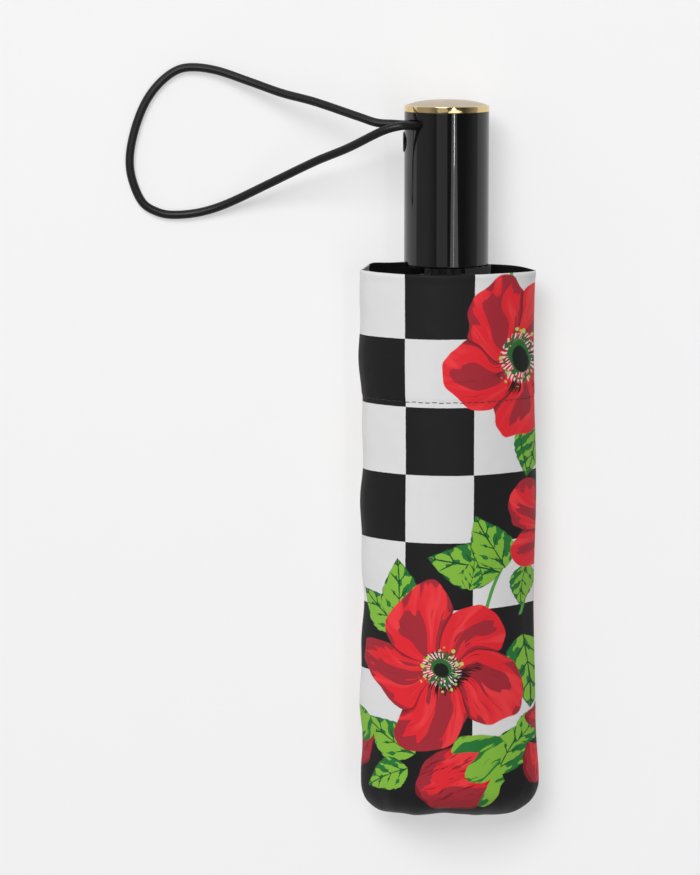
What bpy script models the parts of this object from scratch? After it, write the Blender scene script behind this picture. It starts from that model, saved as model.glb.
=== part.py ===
"""Folding umbrella, closed in its fabric sleeve: a three-section automatic shaft, eight folded ribs,
the canopy bundle, a push-button handle and an elastic wrist loop.

Metres, +Z up. It lies on z = 0 with its shaft along Y and its handle at +Y.
"""

import math

import bmesh
import bpy
from mathutils import Matrix, Vector

# Overall sizes
CLOSED_LENGTH = 0.280
HANDLE_LENGTH = 0.0641
HANDLE_RADIUS = 0.0163
SLEEVE_WIDTH = 0.068
SLEEVE_RISE = 0.0012
MOUTH_GAP = 0.0017

# Clearances
GAP = 0.0003
FIT = 0.0002

# Shaft
INNER_TUBE_RADIUS = 0.0039
INNER_TUBE_WALL = 0.0004
TUBE_WALL = 0.00045
STOP_BEAD_HEIGHT = 0.00035
STOP_BEAD_LENGTH = 0.002
NECK_LENGTH = 0.002
SECTION_TRAVEL = 0.140
INNER_TUBE_IN_HANDLE = 0.0375
MIDDLE_TUBE_SETBACK = 0.004
OUTER_TUBE_SETBACK = 0.008
MIDDLE_TUBE_FROM_PIVOT = 0.013
OUTER_TUBE_FROM_PIVOT = 0.016

# Ribs
RIB_SETS = 8
RIB_WALL = 0.0004
STRETCHER_WIDTH = 0.002
STRETCHER_DEPTH = 0.0019
RIVET_RADIUS = 0.0005
RIVET_HOLE_ROOM = 0.00025
RIB_EDGE = 0.00025
RIB_FLANGE = 0.0024
RIB_OVERHANG = 0.002
TAIL_WIRE_RADIUS = 0.001
TIP_RADIUS = 0.0016
TIP_LENGTH = 0.0045
CLIP_LENGTH = 0.012
STRETCHER_JOINT_FROM_PIVOT = 0.0835

# Crown, runner and their wires
CROWN_PIVOT_FROM_END = 0.020
CROWN_HEIGHT = 0.010
CROWN_HUB_OVERHANG = 0.004
CROWN_STEM_RADIUS = 0.0025
CROWN_STEM_LENGTH = 0.0095
WIRE_RADIUS = 0.0004
RUNNER_WALL = 0.0005
RUNNER_LENGTH = 0.030
RUNNER_FLANGE = 0.007
RUNNER_BARREL_WALL = 0.0017
RUNNER_FROM_MOUTH = 0.002
TOP_CAP_RADIUS = 0.007
TOP_CAP_HEIGHT = 0.0086

# Fabric
SLEEVE_FABRIC = 0.0008
SLEEVE_CORNER = 0.014
SLEEVE_SEAM_SHARE = 0.2
LENS_POWER = 1.54
CANOPY_SIDE_ROOM = 0.009
CANOPY_WALL = 0.0022
CANOPY_FROM_MOUTH = 0.004
CANOPY_END_WALL = 0.0023
CANOPY_TAPER = 0.93
CANOPY_TUCK = 0.55
STRAP_WIDTH = 0.014
STRAP_THICKNESS = 0.0006
STRAP_FROM_MOUTH = 0.037
SNAP_RADIUS = 0.0045
SNAP_THICKNESS = 0.001

# Handle
SHELL_WALL = 0.0018
CAP_THICKNESS = 0.0023
CAP_SPIGOT = 0.0012
EDGE_ROUND = 0.0004
RIM_ROUND = 0.0008
SOCKET_LENGTH = 0.0295
BLOCK_LENGTH = 0.024
BLOCK_BORE_DEPTH = 0.011
BLOCK_BORE_ROOM = 0.0013
SPRING_STEM_RADIUS = 0.0017
SPRING_STEM_LENGTH = 0.007
ANCHOR_DEPTH = 0.0073
SLOT_TURN = math.radians(52)
SLOT_FROM_END = 0.0062
SLOT_ALONG = 0.004
SLOT_AROUND = 0.0076

# Button and latch
BUTTON_RADIUS = 0.004
BUTTON_PROUD = 0.0005
BUTTON_FLANGE = 0.0008
BUTTON_FLANGE_THICKNESS = 0.0008
BUTTON_STEM_RADIUS = 0.0015
BUTTON_NOSE = 0.0007
BUTTON_TRAVEL = 0.0016
BUTTON_ABOVE_PIN = 0.005
POCKET_DEPTH = 0.0042
PIN_RADIUS = 0.0009
PIN_DEPTH = 0.0065
PIN_IN_BLOCK = 0.012
LEVER_THICKNESS = 0.0024
LEVER_HALF_ARM = 0.0009
LEVER_HUB_RADIUS = 0.0022
TOOTH_CLEARANCE = 0.0004
TOOTH_DEPTH = 0.0019

# Springs
MAIN_SPRING_WIRE = 0.00045
MAIN_SPRING_TURNS = 14
BUTTON_SPRING_WIRE = 0.00025
BUTTON_SPRING_TURNS = 3

# Wrist loop
CORD_DIAMETER = 0.0033
CORD_STEP = 2.4 * CORD_DIAMETER
LOOP_REST = 0.0018
# Inside the handle: depth from the shell's surface, along the shaft and across the slot
LOOP_START = [
    (-0.0069, 0.0, -0.0017),
    (-0.0032, 0.0, -0.0017),
    (0.0001, 0.0, -0.0017),
    (0.0031, 0.0002, -0.0021),
]
LOOP_RETURN = [
    (0.0075, -0.0002, 0.0004),
    (0.0034, 0.0, 0.0017),
    (0.0001, 0.0, 0.0019),
    (-0.0032, 0.0, 0.0019),
    (-0.0069, 0.0, 0.0019),
]
# Outside it: sideways and along the shaft from the slot's mouth, and share of its height
LOOP_ROUTE = [
    (-0.0082, 0.0005, 1.031),
    (-0.0142, 0.0008, 0.995),
    (-0.0210, 0.0025, 0.897),
    (-0.0378, 0.0062, 0.607),
    (-0.0505, 0.0089, 0.407),
    (-0.0631, 0.0131, 0.226),
    (-0.0758, 0.0172, 0.088),
    (-0.0859, 0.0184, 0.023),
    (-0.0927, 0.0166, 0.0),
    (-0.0994, 0.0110, 0.0),
    (-0.1045, 0.0034, 0.0),
    (-0.1083, -0.0068, 0.0),
    (-0.1101, -0.0170, 0.0),
    (-0.1091, -0.0255, 0.0),
    (-0.1053, -0.0340, 0.0),
    (-0.0994, -0.0378, 0.0),
    (-0.0927, -0.0389, 0.0),
    (-0.0825, -0.0378, 0.012),
    (-0.0716, -0.0341, 0.088),
    (-0.0547, -0.0257, 0.316),
    (-0.0378, -0.0167, 0.607),
    (-0.0252, -0.0100, 0.864),
    (-0.0125, -0.0024, 1.126),
]

# Roundness
TURN_STEPS = 24
HANDLE_STEPS = 48
OVAL_STEPS = 28
HOLE_STEPS = 10

# Radii, from the shaft outwards
INNER_BORE = INNER_TUBE_RADIUS - INNER_TUBE_WALL
INNER_BEAD = INNER_TUBE_RADIUS + STOP_BEAD_HEIGHT
MIDDLE_BORE = INNER_BEAD + FIT
MIDDLE_TUBE_RADIUS = MIDDLE_BORE + TUBE_WALL
MIDDLE_BEAD = MIDDLE_TUBE_RADIUS + STOP_BEAD_HEIGHT
OUTER_BORE = MIDDLE_BEAD + FIT
OUTER_TUBE_RADIUS = OUTER_BORE + TUBE_WALL
RUNNER_BORE = OUTER_TUBE_RADIUS + FIT
STRETCHER_LOW = RUNNER_BORE + RUNNER_WALL + GAP
STRETCHER_HIGH = STRETCHER_LOW + STRETCHER_DEPTH
RIVET_HOLE = RIVET_RADIUS + RIVET_HOLE_ROOM
STRETCHER_RIVET = STRETCHER_HIGH + GAP
ELBOW_RIVET = STRETCHER_HIGH + GAP + RIVET_RADIUS
TOP_WEB = ELBOW_RIVET + RIVET_HOLE + RIB_EDGE
MIDDLE_WEB = TOP_WEB + RIB_WALL + GAP
TAIL_WEB = MIDDLE_WEB + RIB_WALL + GAP
TAIL_WIRE = TAIL_WEB + RIB_WALL / 2 + TAIL_WIRE_RADIUS
CANOPY_BORE = TAIL_WIRE + TIP_RADIUS + GAP
CANOPY_HALF_HEIGHT = CANOPY_BORE + CANOPY_WALL
STRAP_HALF_HEIGHT = CANOPY_HALF_HEIGHT + GAP + STRAP_THICKNESS
AXIS_HEIGHT = STRAP_HALF_HEIGHT + GAP + SLEEVE_FABRIC
SLEEVE_HALF_HEIGHT = AXIS_HEIGHT + SLEEVE_RISE
SLEEVE_HALF_WIDTH = SLEEVE_WIDTH / 2
CANOPY_HALF_WIDTH = SLEEVE_HALF_WIDTH - CANOPY_SIDE_ROOM
CROWN_WIRE_RING = TOP_WEB - RIVET_HOLE - 2 * RIB_EDGE
RUNNER_WIRE_RING = (STRETCHER_LOW + STRETCHER_HIGH) / 2
CROWN_RADIUS = TOP_WEB

# Widths, from the stretcher outwards
TOP_RIB_WIDTH = STRETCHER_WIDTH + 2 * GAP + 2 * RIB_WALL
MIDDLE_RIB_WIDTH = TOP_RIB_WIDTH + 2 * FIT + 2 * RIB_WALL
TAIL_CLIP_WIDTH = MIDDLE_RIB_WIDTH + 2 * FIT + 2 * RIB_WALL

# Places along the shaft
HANDLE_END = CLOSED_LENGTH / 2
CROWN_END = -CLOSED_LENGTH / 2
HANDLE_START = HANDLE_END - HANDLE_LENGTH
SLEEVE_MOUTH = HANDLE_START - MOUTH_GAP
CROWN_PIVOT = CROWN_END + CROWN_PIVOT_FROM_END
CROWN_BASE = CROWN_PIVOT - CROWN_HUB_OVERHANG
CANOPY_END = CROWN_BASE - CANOPY_END_WALL - CROWN_HUB_OVERHANG + GAP
CANOPY_MOUTH = SLEEVE_MOUTH - CANOPY_FROM_MOUTH
RUNNER_END = SLEEVE_MOUTH - RUNNER_FROM_MOUTH
RUNNER_START = RUNNER_END - RUNNER_LENGTH
RUNNER_PIVOT = RUNNER_START + RUNNER_FLANGE / 2
STRETCHER_JOINT = CROWN_PIVOT + STRETCHER_JOINT_FROM_PIVOT
TOP_RIB_END = RUNNER_START - 2 * RIB_OVERHANG
ELBOW = TOP_RIB_END - 2.5 * RIB_OVERHANG
TAIL_CLIP_START = CROWN_PIVOT + CROWN_HEIGHT
TAIL_JOINT = TAIL_CLIP_START + CLIP_LENGTH / 2
TIP_END = CANOPY_MOUTH + 0.0015
CAP_START = HANDLE_END - CAP_THICKNESS
SHELL_END = CAP_START - GAP
SHELL_BORE = HANDLE_RADIUS - SHELL_WALL
SOCKET_START = HANDLE_START + RIM_ROUND
SOCKET_END = SOCKET_START + SOCKET_LENGTH
BLOCK_START = SOCKET_END + GAP
BLOCK_END = BLOCK_START + BLOCK_LENGTH
BLOCK_RADIUS = SHELL_BORE - GAP
BLOCK_BORE = MIDDLE_TUBE_RADIUS + BLOCK_BORE_ROOM
BLOCK_BORE_END = BLOCK_START + BLOCK_BORE_DEPTH
INNER_TUBE_END = HANDLE_START + INNER_TUBE_IN_HANDLE
MIDDLE_TUBE_START = CROWN_PIVOT + MIDDLE_TUBE_FROM_PIVOT
MIDDLE_TUBE_END = INNER_TUBE_END - MIDDLE_TUBE_SETBACK
OUTER_TUBE_START = CROWN_PIVOT + OUTER_TUBE_FROM_PIVOT
OUTER_TUBE_END = INNER_TUBE_END - OUTER_TUBE_SETBACK
PIN_X = -(SHELL_BORE - PIN_DEPTH)
PIN_Y = BLOCK_START + PIN_IN_BLOCK
BUTTON_Y = PIN_Y + BUTTON_ABOVE_PIN
BUTTON_FACE = HANDLE_RADIUS + BUTTON_PROUD
FLANGE_FACE = math.sqrt(SHELL_BORE**2 - (BUTTON_RADIUS + BUTTON_FLANGE) ** 2) - GAP
POCKET_FLOOR = BLOCK_RADIUS - POCKET_DEPTH
STEM_FACE = -PIN_X + LEVER_HALF_ARM + GAP
ANCHOR_RADIUS = HANDLE_RADIUS - ANCHOR_DEPTH
SLOT_Y = HANDLE_END - SLOT_FROM_END

ALONG_SHAFT = (-math.pi / 2, 0, 0)


def clear_scene():
    for obj in list(bpy.data.objects):
        bpy.data.objects.remove(obj, do_unlink=True)


def new_collection(name):
    collection = bpy.data.collections.new(name)
    bpy.context.scene.collection.children.link(collection)
    return collection


clear_scene()
PARTS = new_collection("folding_umbrella")
CUTTERS = new_collection("cutters")
CUTTERS.hide_render = True


def finish(name, colour, roughness, metallic=0.0):
    """A Principled material for one kind of piece."""
    material = bpy.data.materials.new(name + "_finish")
    material.use_nodes = True
    shader = material.node_tree.nodes["Principled BSDF"]
    shader.inputs["Base Color"].default_value = (*colour, 1.0)
    shader.inputs["Roughness"].default_value = roughness
    shader.inputs["Metallic"].default_value = metallic
    return material


def place(name, data, collection, location=(0, 0, AXIS_HEIGHT), rotation=(0, 0, 0)):
    obj = bpy.data.objects.new(name, data)
    collection.objects.link(obj)
    obj.location = location
    obj.rotation_euler = rotation
    return obj


def as_cutter(obj):
    obj.hide_render = True
    obj.display_type = "WIRE"
    return obj


def dress(obj, colour, roughness, metallic=0.0):
    obj.data.materials.append(finish(obj.name, colour, roughness, metallic))
    return obj


def mesh_from(name, bm):
    bmesh.ops.recalc_face_normals(bm, faces=bm.faces)
    mesh = bpy.data.meshes.new(name)
    bm.to_mesh(mesh)
    bm.free()
    return mesh


def turned(name, outline, collection, steps=TURN_STEPS, closed=True, **at):
    """A turned piece. The outline holds (radius, height) down the outer side and back up inside."""
    bm = bmesh.new()
    verts = [bm.verts.new((radius, 0, height)) for radius, height in outline]
    for first, second in zip(verts, verts[1:]):
        bm.edges.new((first, second))
    if closed:
        bm.edges.new((verts[-1], verts[0]))
    mesh = bpy.data.meshes.new(name)
    bm.to_mesh(mesh)
    bm.free()
    at.setdefault("rotation", ALONG_SHAFT)
    obj = place(name, mesh, collection, **at)
    screw = obj.modifiers.new("Turn", "SCREW")
    screw.axis = "Z"
    screw.steps = steps
    screw.render_steps = steps
    screw.use_merge_vertices = True
    screw.merge_threshold = 0.00001
    screw.use_smooth_shade = True
    return obj


def prism(name, outline, axis, low, high):
    """Mesh of a flat outline pushed from low to high along an axis."""
    bm = bmesh.new()
    others = [index for index in range(3) if index != axis]
    verts = []
    for first, second in outline:
        corner = [0.0, 0.0, 0.0]
        corner[axis] = low
        corner[others[0]] = first
        corner[others[1]] = second
        verts.append(bm.verts.new(corner))
    face = bm.faces.new(verts)
    pushed = bmesh.ops.extrude_face_region(bm, geom=[face])["geom"]
    move = Vector((0, 0, 0))
    move[axis] = high - low
    moved = [item for item in pushed if isinstance(item, bmesh.types.BMVert)]
    bmesh.ops.translate(bm, vec=move, verts=moved)
    return mesh_from(name, bm)


def box(name, low, high):
    outline = [(low[0], low[1]), (high[0], low[1]), (high[0], high[1]), (low[0], high[1])]
    return prism(name, outline, 2, low[2], high[2])


def rod(name, axis, centre, radius, low, high, sides=HOLE_STEPS):
    """Mesh of a round bar along an axis, from low to high."""
    outline = []
    for index in range(sides):
        angle = 2 * math.pi * (index + 0.5) / sides
        first = centre[0] + radius * math.cos(angle)
        second = centre[1] + radius * math.sin(angle)
        outline.append((first, second))
    return prism(name, outline, axis, low, high)


def boolean(obj, other, operation):
    modifier = obj.modifiers.new(other.name, "BOOLEAN")
    modifier.operation = operation
    modifier.solver = "EXACT"
    modifier.object = other
    return modifier


def cut(obj, mesh, **at):
    cutter = as_cutter(place(mesh.name, mesh, CUTTERS, **at))
    boolean(obj, cutter, "DIFFERENCE")


def join(obj, mesh, **at):
    added = as_cutter(place(mesh.name, mesh, CUTTERS, **at))
    boolean(obj, added, "UNION")


def settled(obj):
    """The object's evaluated mesh, without its modifiers. The object and its helpers are removed."""
    bpy.context.view_layer.update()
    graph = bpy.context.evaluated_depsgraph_get()
    mesh = bpy.data.meshes.new_from_object(obj.evaluated_get(graph))
    mesh.name = obj.name
    helpers = [modifier.object for modifier in obj.modifiers if modifier.type == "BOOLEAN"]
    for helper in helpers + [obj]:
        bpy.data.objects.remove(helper, do_unlink=True)
    return mesh


def loft(name, rings, ends_closed):
    """Skin through rings of equal length. Either a cap closes the last ring or it joins the first."""
    bm = bmesh.new()
    rows = [[bm.verts.new(point) for point in ring] for ring in rings]
    pairs = list(zip(rows, rows[1:]))
    if ends_closed:
        pairs.append((rows[-1], rows[0]))
    for near, far in pairs:
        for index in range(len(near)):
            after = (index + 1) % len(near)
            bm.faces.new((near[index], near[after], far[after], far[index]))
    if not ends_closed:
        bm.faces.new(rows[-1])
    return mesh_from(name, bm)


def oval(half_width, half_height, along, steps=OVAL_STEPS):
    ring = []
    for index in range(steps):
        angle = 2 * math.pi * index / steps
        ring.append((half_width * math.cos(angle), along, half_height * math.sin(angle)))
    return ring


def lens(half_width, half_height, along, floor, steps=OVAL_STEPS):
    """A pressed fabric section, pointed left and right and flat where it lies on the floor."""
    ring = []
    for index in range(steps):
        angle = 2 * math.pi * index / steps
        rise = abs(math.sin(angle)) ** LENS_POWER
        height = half_height * math.copysign(rise, math.sin(angle))
        ring.append((half_width * math.cos(angle), along, max(height, floor)))
    return ring


def smooth_route(points, spacing):
    """Evenly spaced points on a smooth curve through the given ones."""
    points = [Vector(point) for point in points]
    ends = [2 * points[0] - points[1]] + points + [2 * points[-1] - points[-2]]
    fine = []
    for before, start, end, after in zip(ends, ends[1:], ends[2:], ends[3:]):
        for step in range(12):
            t = step / 12
            lean = (end - before) * t
            bend = (2 * before - 5 * start + 4 * end - after) * t**2
            twist = (3 * start - before - 3 * end + after) * t**3
            fine.append(start + (lean + bend + twist) / 2)
    fine.append(points[-1])
    lengths = [0.0]
    for first, second in zip(fine, fine[1:]):
        lengths.append(lengths[-1] + (second - first).length)
    count = max(2, round(lengths[-1] / spacing))
    route = []
    index = 0
    for step in range(count + 1):
        target = lengths[-1] * step / count
        while index < len(fine) - 2 and lengths[index + 1] < target:
            index += 1
        share = (target - lengths[index]) / (lengths[index + 1] - lengths[index])
        route.append(fine[index].lerp(fine[index + 1], share))
    return route


def wire(name, points, radius, location, resolution):
    """A round wire through the points, as a curve with filled ends."""
    curve = bpy.data.curves.new(name, "CURVE")
    curve.dimensions = "3D"
    curve.bevel_depth = radius
    curve.bevel_resolution = resolution
    curve.use_fill_caps = True
    spline = curve.splines.new("POLY")
    spline.points.add(len(points) - 1)
    for item, point in zip(spline.points, points):
        item.co = (*point, 1.0)
    return place(name, curve, PARTS, location=location)


def coil(radius, turns, low, high, axis):
    """Points of a helix about X or Y."""
    points = []
    steps = turns * 8
    for index in range(steps + 1):
        angle = 2 * math.pi * index / 8
        along = low + (high - low) * index / steps
        first = radius * math.cos(angle)
        second = radius * math.sin(angle)
        points.append((along, first, second) if axis == 0 else (first, along, second))
    return points


def around_shaft(mesh, turn):
    mesh.transform(Matrix.Rotation(turn, 4, "Y"))
    return mesh


def slot_ring(name, half_width, low_radius, high_radius, low, high):
    """Boxes standing out from the shaft, one for each rib."""
    bm = bmesh.new()
    for index in range(RIB_SETS):
        piece = box(name, (-half_width, low, low_radius), (half_width, high, high_radius))
        bm.from_mesh(around_shaft(piece, 2 * math.pi * index / RIB_SETS))
        bpy.data.meshes.remove(piece)
    return mesh_from(name, bm)


def ring_mesh(name, ring_radius, wire_radius, along):
    """A wire ring about the shaft."""
    bpy.ops.mesh.primitive_torus_add(
        major_segments=32,
        minor_segments=6,
        major_radius=ring_radius,
        minor_radius=wire_radius,
    )
    made = bpy.context.object
    mesh = made.data
    mesh.name = name
    bpy.data.objects.remove(made, do_unlink=True)
    mesh.transform(Matrix.Translation((0, along, 0)) @ Matrix.Rotation(math.pi / 2, 4, "X"))
    return mesh


STEEL = (0.62, 0.62, 0.64)
DARK_STEEL = (0.18, 0.18, 0.19)
BLACK_PLASTIC = (0.012, 0.012, 0.013)
WHITE_PLASTIC = (0.75, 0.75, 0.76)
GOLD = (0.80, 0.58, 0.25)
FABRIC = (0.72, 0.10, 0.12)
CORD_BLACK = (0.015, 0.015, 0.017)


def make_inner_tube():
    bead = MIDDLE_TUBE_START + NECK_LENGTH + SECTION_TRAVEL + GAP
    outline = [
        (INNER_TUBE_RADIUS, INNER_TUBE_END),
        (INNER_TUBE_RADIUS, bead + STOP_BEAD_LENGTH),
        (INNER_BEAD, bead + 0.75 * STOP_BEAD_LENGTH),
        (INNER_BEAD, bead),
        (INNER_TUBE_RADIUS, bead),
        (INNER_TUBE_RADIUS, CROWN_PIVOT - CROWN_HUB_OVERHANG / 2),
        (INNER_BORE, CROWN_PIVOT - CROWN_HUB_OVERHANG / 2),
        (INNER_BORE, INNER_TUBE_END),
    ]
    dress(turned("inner_tube", outline, PARTS), STEEL, 0.25, 1.0)


def necked_tube(radius, bore, inside_radius, start, end, bead=None):
    """Outline of a tube whose first end closes in on the tube inside it."""
    outline = [(radius, end)]
    if bead is not None:
        bead_radius, bead_start = bead
        outline += [
            (radius, bead_start + STOP_BEAD_LENGTH),
            (bead_radius, bead_start + 0.75 * STOP_BEAD_LENGTH),
            (bead_radius, bead_start),
            (radius, bead_start),
        ]
    return outline + [
        (radius, start + EDGE_ROUND),
        (radius - EDGE_ROUND, start),
        (inside_radius + FIT, start),
        (inside_radius + FIT, start + NECK_LENGTH),
        (bore, start + NECK_LENGTH),
        (bore, end),
    ]


def make_outer_tubes():
    bead = (MIDDLE_BEAD, OUTER_TUBE_START + NECK_LENGTH + SECTION_TRAVEL + GAP)
    middle = necked_tube(
        MIDDLE_TUBE_RADIUS,
        MIDDLE_BORE,
        INNER_TUBE_RADIUS,
        MIDDLE_TUBE_START,
        MIDDLE_TUBE_END,
        bead,
    )
    dress(turned("middle_tube", middle, PARTS), STEEL, 0.25, 1.0)
    outer = necked_tube(
        OUTER_TUBE_RADIUS,
        OUTER_BORE,
        MIDDLE_TUBE_RADIUS,
        OUTER_TUBE_START,
        OUTER_TUBE_END,
    )
    dress(turned("outer_tube", outer, PARTS), STEEL, 0.25, 1.0)


def make_crown():
    base = CROWN_PIVOT - CROWN_HUB_OVERHANG
    top = base + CROWN_HEIGHT
    bore = INNER_TUBE_RADIUS + FIT
    seat = CROWN_PIVOT - CROWN_HUB_OVERHANG / 2 - GAP
    outline = [
        (0, seat),
        (bore, seat),
        (bore, top),
        (CROWN_RADIUS - EDGE_ROUND, top),
        (CROWN_RADIUS, top - EDGE_ROUND),
        (CROWN_RADIUS, base + EDGE_ROUND),
        (CROWN_RADIUS - EDGE_ROUND, base),
        (CROWN_STEM_RADIUS, base),
        (CROWN_STEM_RADIUS, base - CROWN_STEM_LENGTH),
        (0, base - CROWN_STEM_LENGTH),
    ]
    crown = turned("crown", outline, PARTS, closed=False)
    low = ELBOW_RIVET - RIB_FLANGE / 2 - 2 * GAP
    half_slot = TOP_RIB_WIDTH / 2 + GAP
    slots = slot_ring("crown_slots", half_slot, low, 2 * CROWN_RADIUS, base - GAP, top + GAP)
    cut(crown, slots)
    groove = ring_mesh("crown_groove", CROWN_WIRE_RING, WIRE_RADIUS + GAP, CROWN_PIVOT)
    cut(crown, groove)
    dress(crown, WHITE_PLASTIC, 0.45)
    ring = ring_mesh("crown_wire", CROWN_WIRE_RING, WIRE_RADIUS, CROWN_PIVOT)
    dress(place("crown_wire", ring, PARTS), STEEL, 0.3, 1.0)


def make_top_cap():
    """The ferrule that holds the canopy on the crown's stem, blind inside."""
    base = CANOPY_END - GAP
    bore = CROWN_STEM_RADIUS + GAP
    stem_end = CROWN_BASE - CROWN_STEM_LENGTH
    outline = [(0, stem_end - GAP), (bore, stem_end - GAP), (bore, base)]
    outline += [(TOP_CAP_RADIUS - EDGE_ROUND, base), (TOP_CAP_RADIUS, base - EDGE_ROUND)]
    rim = base - 3 * EDGE_ROUND
    dome = TOP_CAP_HEIGHT - 3 * EDGE_ROUND
    for index in range(7):
        angle = math.pi / 2 * index / 6
        outline.append((TOP_CAP_RADIUS * math.cos(angle), rim - dome * math.sin(angle)))
    outline[-1] = (0, rim - dome)
    dress(turned("top_cap", outline, PARTS, closed=False), DARK_STEEL, 0.3, 0.6)


def make_runner():
    flange_end = RUNNER_START + RUNNER_FLANGE
    barrel = RUNNER_BORE + RUNNER_BARREL_WALL
    flange = STRETCHER_HIGH + GAP + 2 * EDGE_ROUND
    outline = [
        (barrel, RUNNER_END),
        (barrel, flange_end),
        (flange - EDGE_ROUND, flange_end),
        (flange, flange_end - EDGE_ROUND),
        (flange, RUNNER_START + EDGE_ROUND),
        (flange - EDGE_ROUND, RUNNER_START),
        (RUNNER_BORE, RUNNER_START),
        (RUNNER_BORE, RUNNER_END),
    ]
    runner = turned("runner", outline, PARTS)
    half_slot = STRETCHER_WIDTH / 2 + GAP
    slots = slot_ring(
        "runner_slots",
        half_slot,
        STRETCHER_LOW - GAP,
        2 * flange,
        RUNNER_START - GAP,
        flange_end - 2 * EDGE_ROUND,
    )
    cut(runner, slots)
    groove = ring_mesh("runner_groove", RUNNER_WIRE_RING, WIRE_RADIUS + FIT, RUNNER_PIVOT)
    cut(runner, groove)
    dress(runner, BLACK_PLASTIC, 0.4)
    ring = ring_mesh("runner_wire", RUNNER_WIRE_RING, WIRE_RADIUS, RUNNER_PIVOT)
    dress(place("runner_wire", ring, PARTS), STEEL, 0.3, 1.0)


def channel(name, width, web, flange, start, end):
    """A U-shaped rib, open towards the shaft."""
    half = width / 2
    high = web + RIB_WALL
    low = web - flange
    outline = [
        (-half, low),
        (-half, high),
        (half, high),
        (half, low),
        (half - RIB_WALL, low),
        (half - RIB_WALL, web),
        (-half + RIB_WALL, web),
        (-half + RIB_WALL, low),
    ]
    return place(name, prism(name, outline, 1, start, end), CUTTERS, location=(0, 0, 0))


def cross_hole(obj, name, along, height, radius, half_width):
    at_shaft = {"location": (0, 0, 0)}
    cut(obj, rod(name, 0, (along, height), radius, -half_width, half_width), **at_shaft)


def cross_rivet(obj, name, along, height, low, high):
    at_shaft = {"location": (0, 0, 0)}
    join(obj, rod(name, 0, (along, height), RIVET_RADIUS, low, high), **at_shaft)


def stretcher_mesh():
    """A flat link from the runner to the middle of the top rib."""
    eye = 2 * RIVET_HOLE + RIB_EDGE
    eye_high = TOP_WEB - GAP
    start = STRETCHER_JOINT - eye
    outline = [
        (start, STRETCHER_LOW + GAP),
        (start, eye_high),
        (STRETCHER_JOINT + eye, eye_high),
        (STRETCHER_JOINT + 2 * eye, STRETCHER_HIGH),
        (RUNNER_PIVOT + RIB_OVERHANG - GAP, STRETCHER_HIGH),
        (RUNNER_PIVOT + RIB_OVERHANG - GAP, STRETCHER_LOW),
        (start + eye, STRETCHER_LOW),
    ]
    half = STRETCHER_WIDTH / 2
    mesh = prism("stretcher", outline, 0, -half, half)
    link = place("stretcher", mesh, CUTTERS, location=(0, 0, 0))
    through = half + GAP
    cross_hole(link, "stretcher_eye", STRETCHER_JOINT, STRETCHER_RIVET, RIVET_HOLE, through)
    wire_height = math.sqrt(RUNNER_WIRE_RING**2 - half**2)
    cross_hole(link, "wire_eye", RUNNER_PIVOT, wire_height, WIRE_RADIUS + FIT, through)
    return settled(link)


def top_rib_mesh():
    start = CROWN_PIVOT - RIB_OVERHANG
    rib = channel("top_rib", TOP_RIB_WIDTH, TOP_WEB, RIB_FLANGE, start, TOP_RIB_END)
    half = TOP_RIB_WIDTH / 2
    through = half + GAP
    wire_height = math.sqrt(CROWN_WIRE_RING**2 - (half - RIB_WALL / 2) ** 2)
    cross_hole(rib, "crown_eye", CROWN_PIVOT, wire_height, WIRE_RADIUS + GAP, through)
    cross_hole(rib, "elbow_eye", ELBOW, ELBOW_RIVET, RIVET_HOLE, through)
    cross_rivet(rib, "stretcher_rivet", STRETCHER_JOINT, STRETCHER_RIVET, -half, half)
    return settled(rib)


def middle_rib_mesh():
    end = TOP_RIB_END - RIB_OVERHANG
    start = TAIL_CLIP_START + RIB_OVERHANG
    rib = channel("middle_rib", MIDDLE_RIB_WIDTH, MIDDLE_WEB, RIB_FLANGE, start, end)
    half = MIDDLE_RIB_WIDTH / 2
    cross_rivet(rib, "elbow_rivet", ELBOW, ELBOW_RIVET, -half, half)
    cross_hole(rib, "tail_eye", TAIL_JOINT, ELBOW_RIVET, RIVET_HOLE, half + GAP)
    return settled(rib)


def tail_rib_mesh():
    """A clip on the middle rib's end, a long spring wire and the tip that the canopy is sewn to."""
    end = TAIL_CLIP_START + CLIP_LENGTH
    flange = RIB_FLANGE + MIDDLE_WEB - TOP_WEB
    rib = channel("tail_rib", TAIL_CLIP_WIDTH, TAIL_WEB, flange, TAIL_CLIP_START, end)
    half = TAIL_CLIP_WIDTH / 2
    stub = MIDDLE_RIB_WIDTH / 2 - RIB_WALL + GAP / 2
    cross_rivet(rib, "left_stub", TAIL_JOINT, ELBOW_RIVET, -half, -stub)
    cross_rivet(rib, "right_stub", TAIL_JOINT, ELBOW_RIVET, stub, half)
    at_shaft = {"location": (0, 0, 0)}
    tip = TIP_END - TIP_LENGTH
    stem = rod(
        "tail_wire", 1, (0, TAIL_WIRE), TAIL_WIRE_RADIUS, end - RIB_OVERHANG, tip + TIP_LENGTH / 2
    )
    join(rib, stem, **at_shaft)
    profile = [(0, TIP_END), (0.6 * TIP_RADIUS, TIP_END - 0.2 * TIP_RADIUS)]
    profile += [(TIP_RADIUS, TIP_END - TIP_RADIUS), (TIP_RADIUS, tip), (0, tip)]
    at = {"location": (0, 0, TAIL_WIRE), "steps": HOLE_STEPS}
    bead = turned("rib_tip", profile, CUTTERS, closed=False, **at)
    as_cutter(bead)
    boolean(rib, bead, "UNION")
    return settled(rib)


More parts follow.
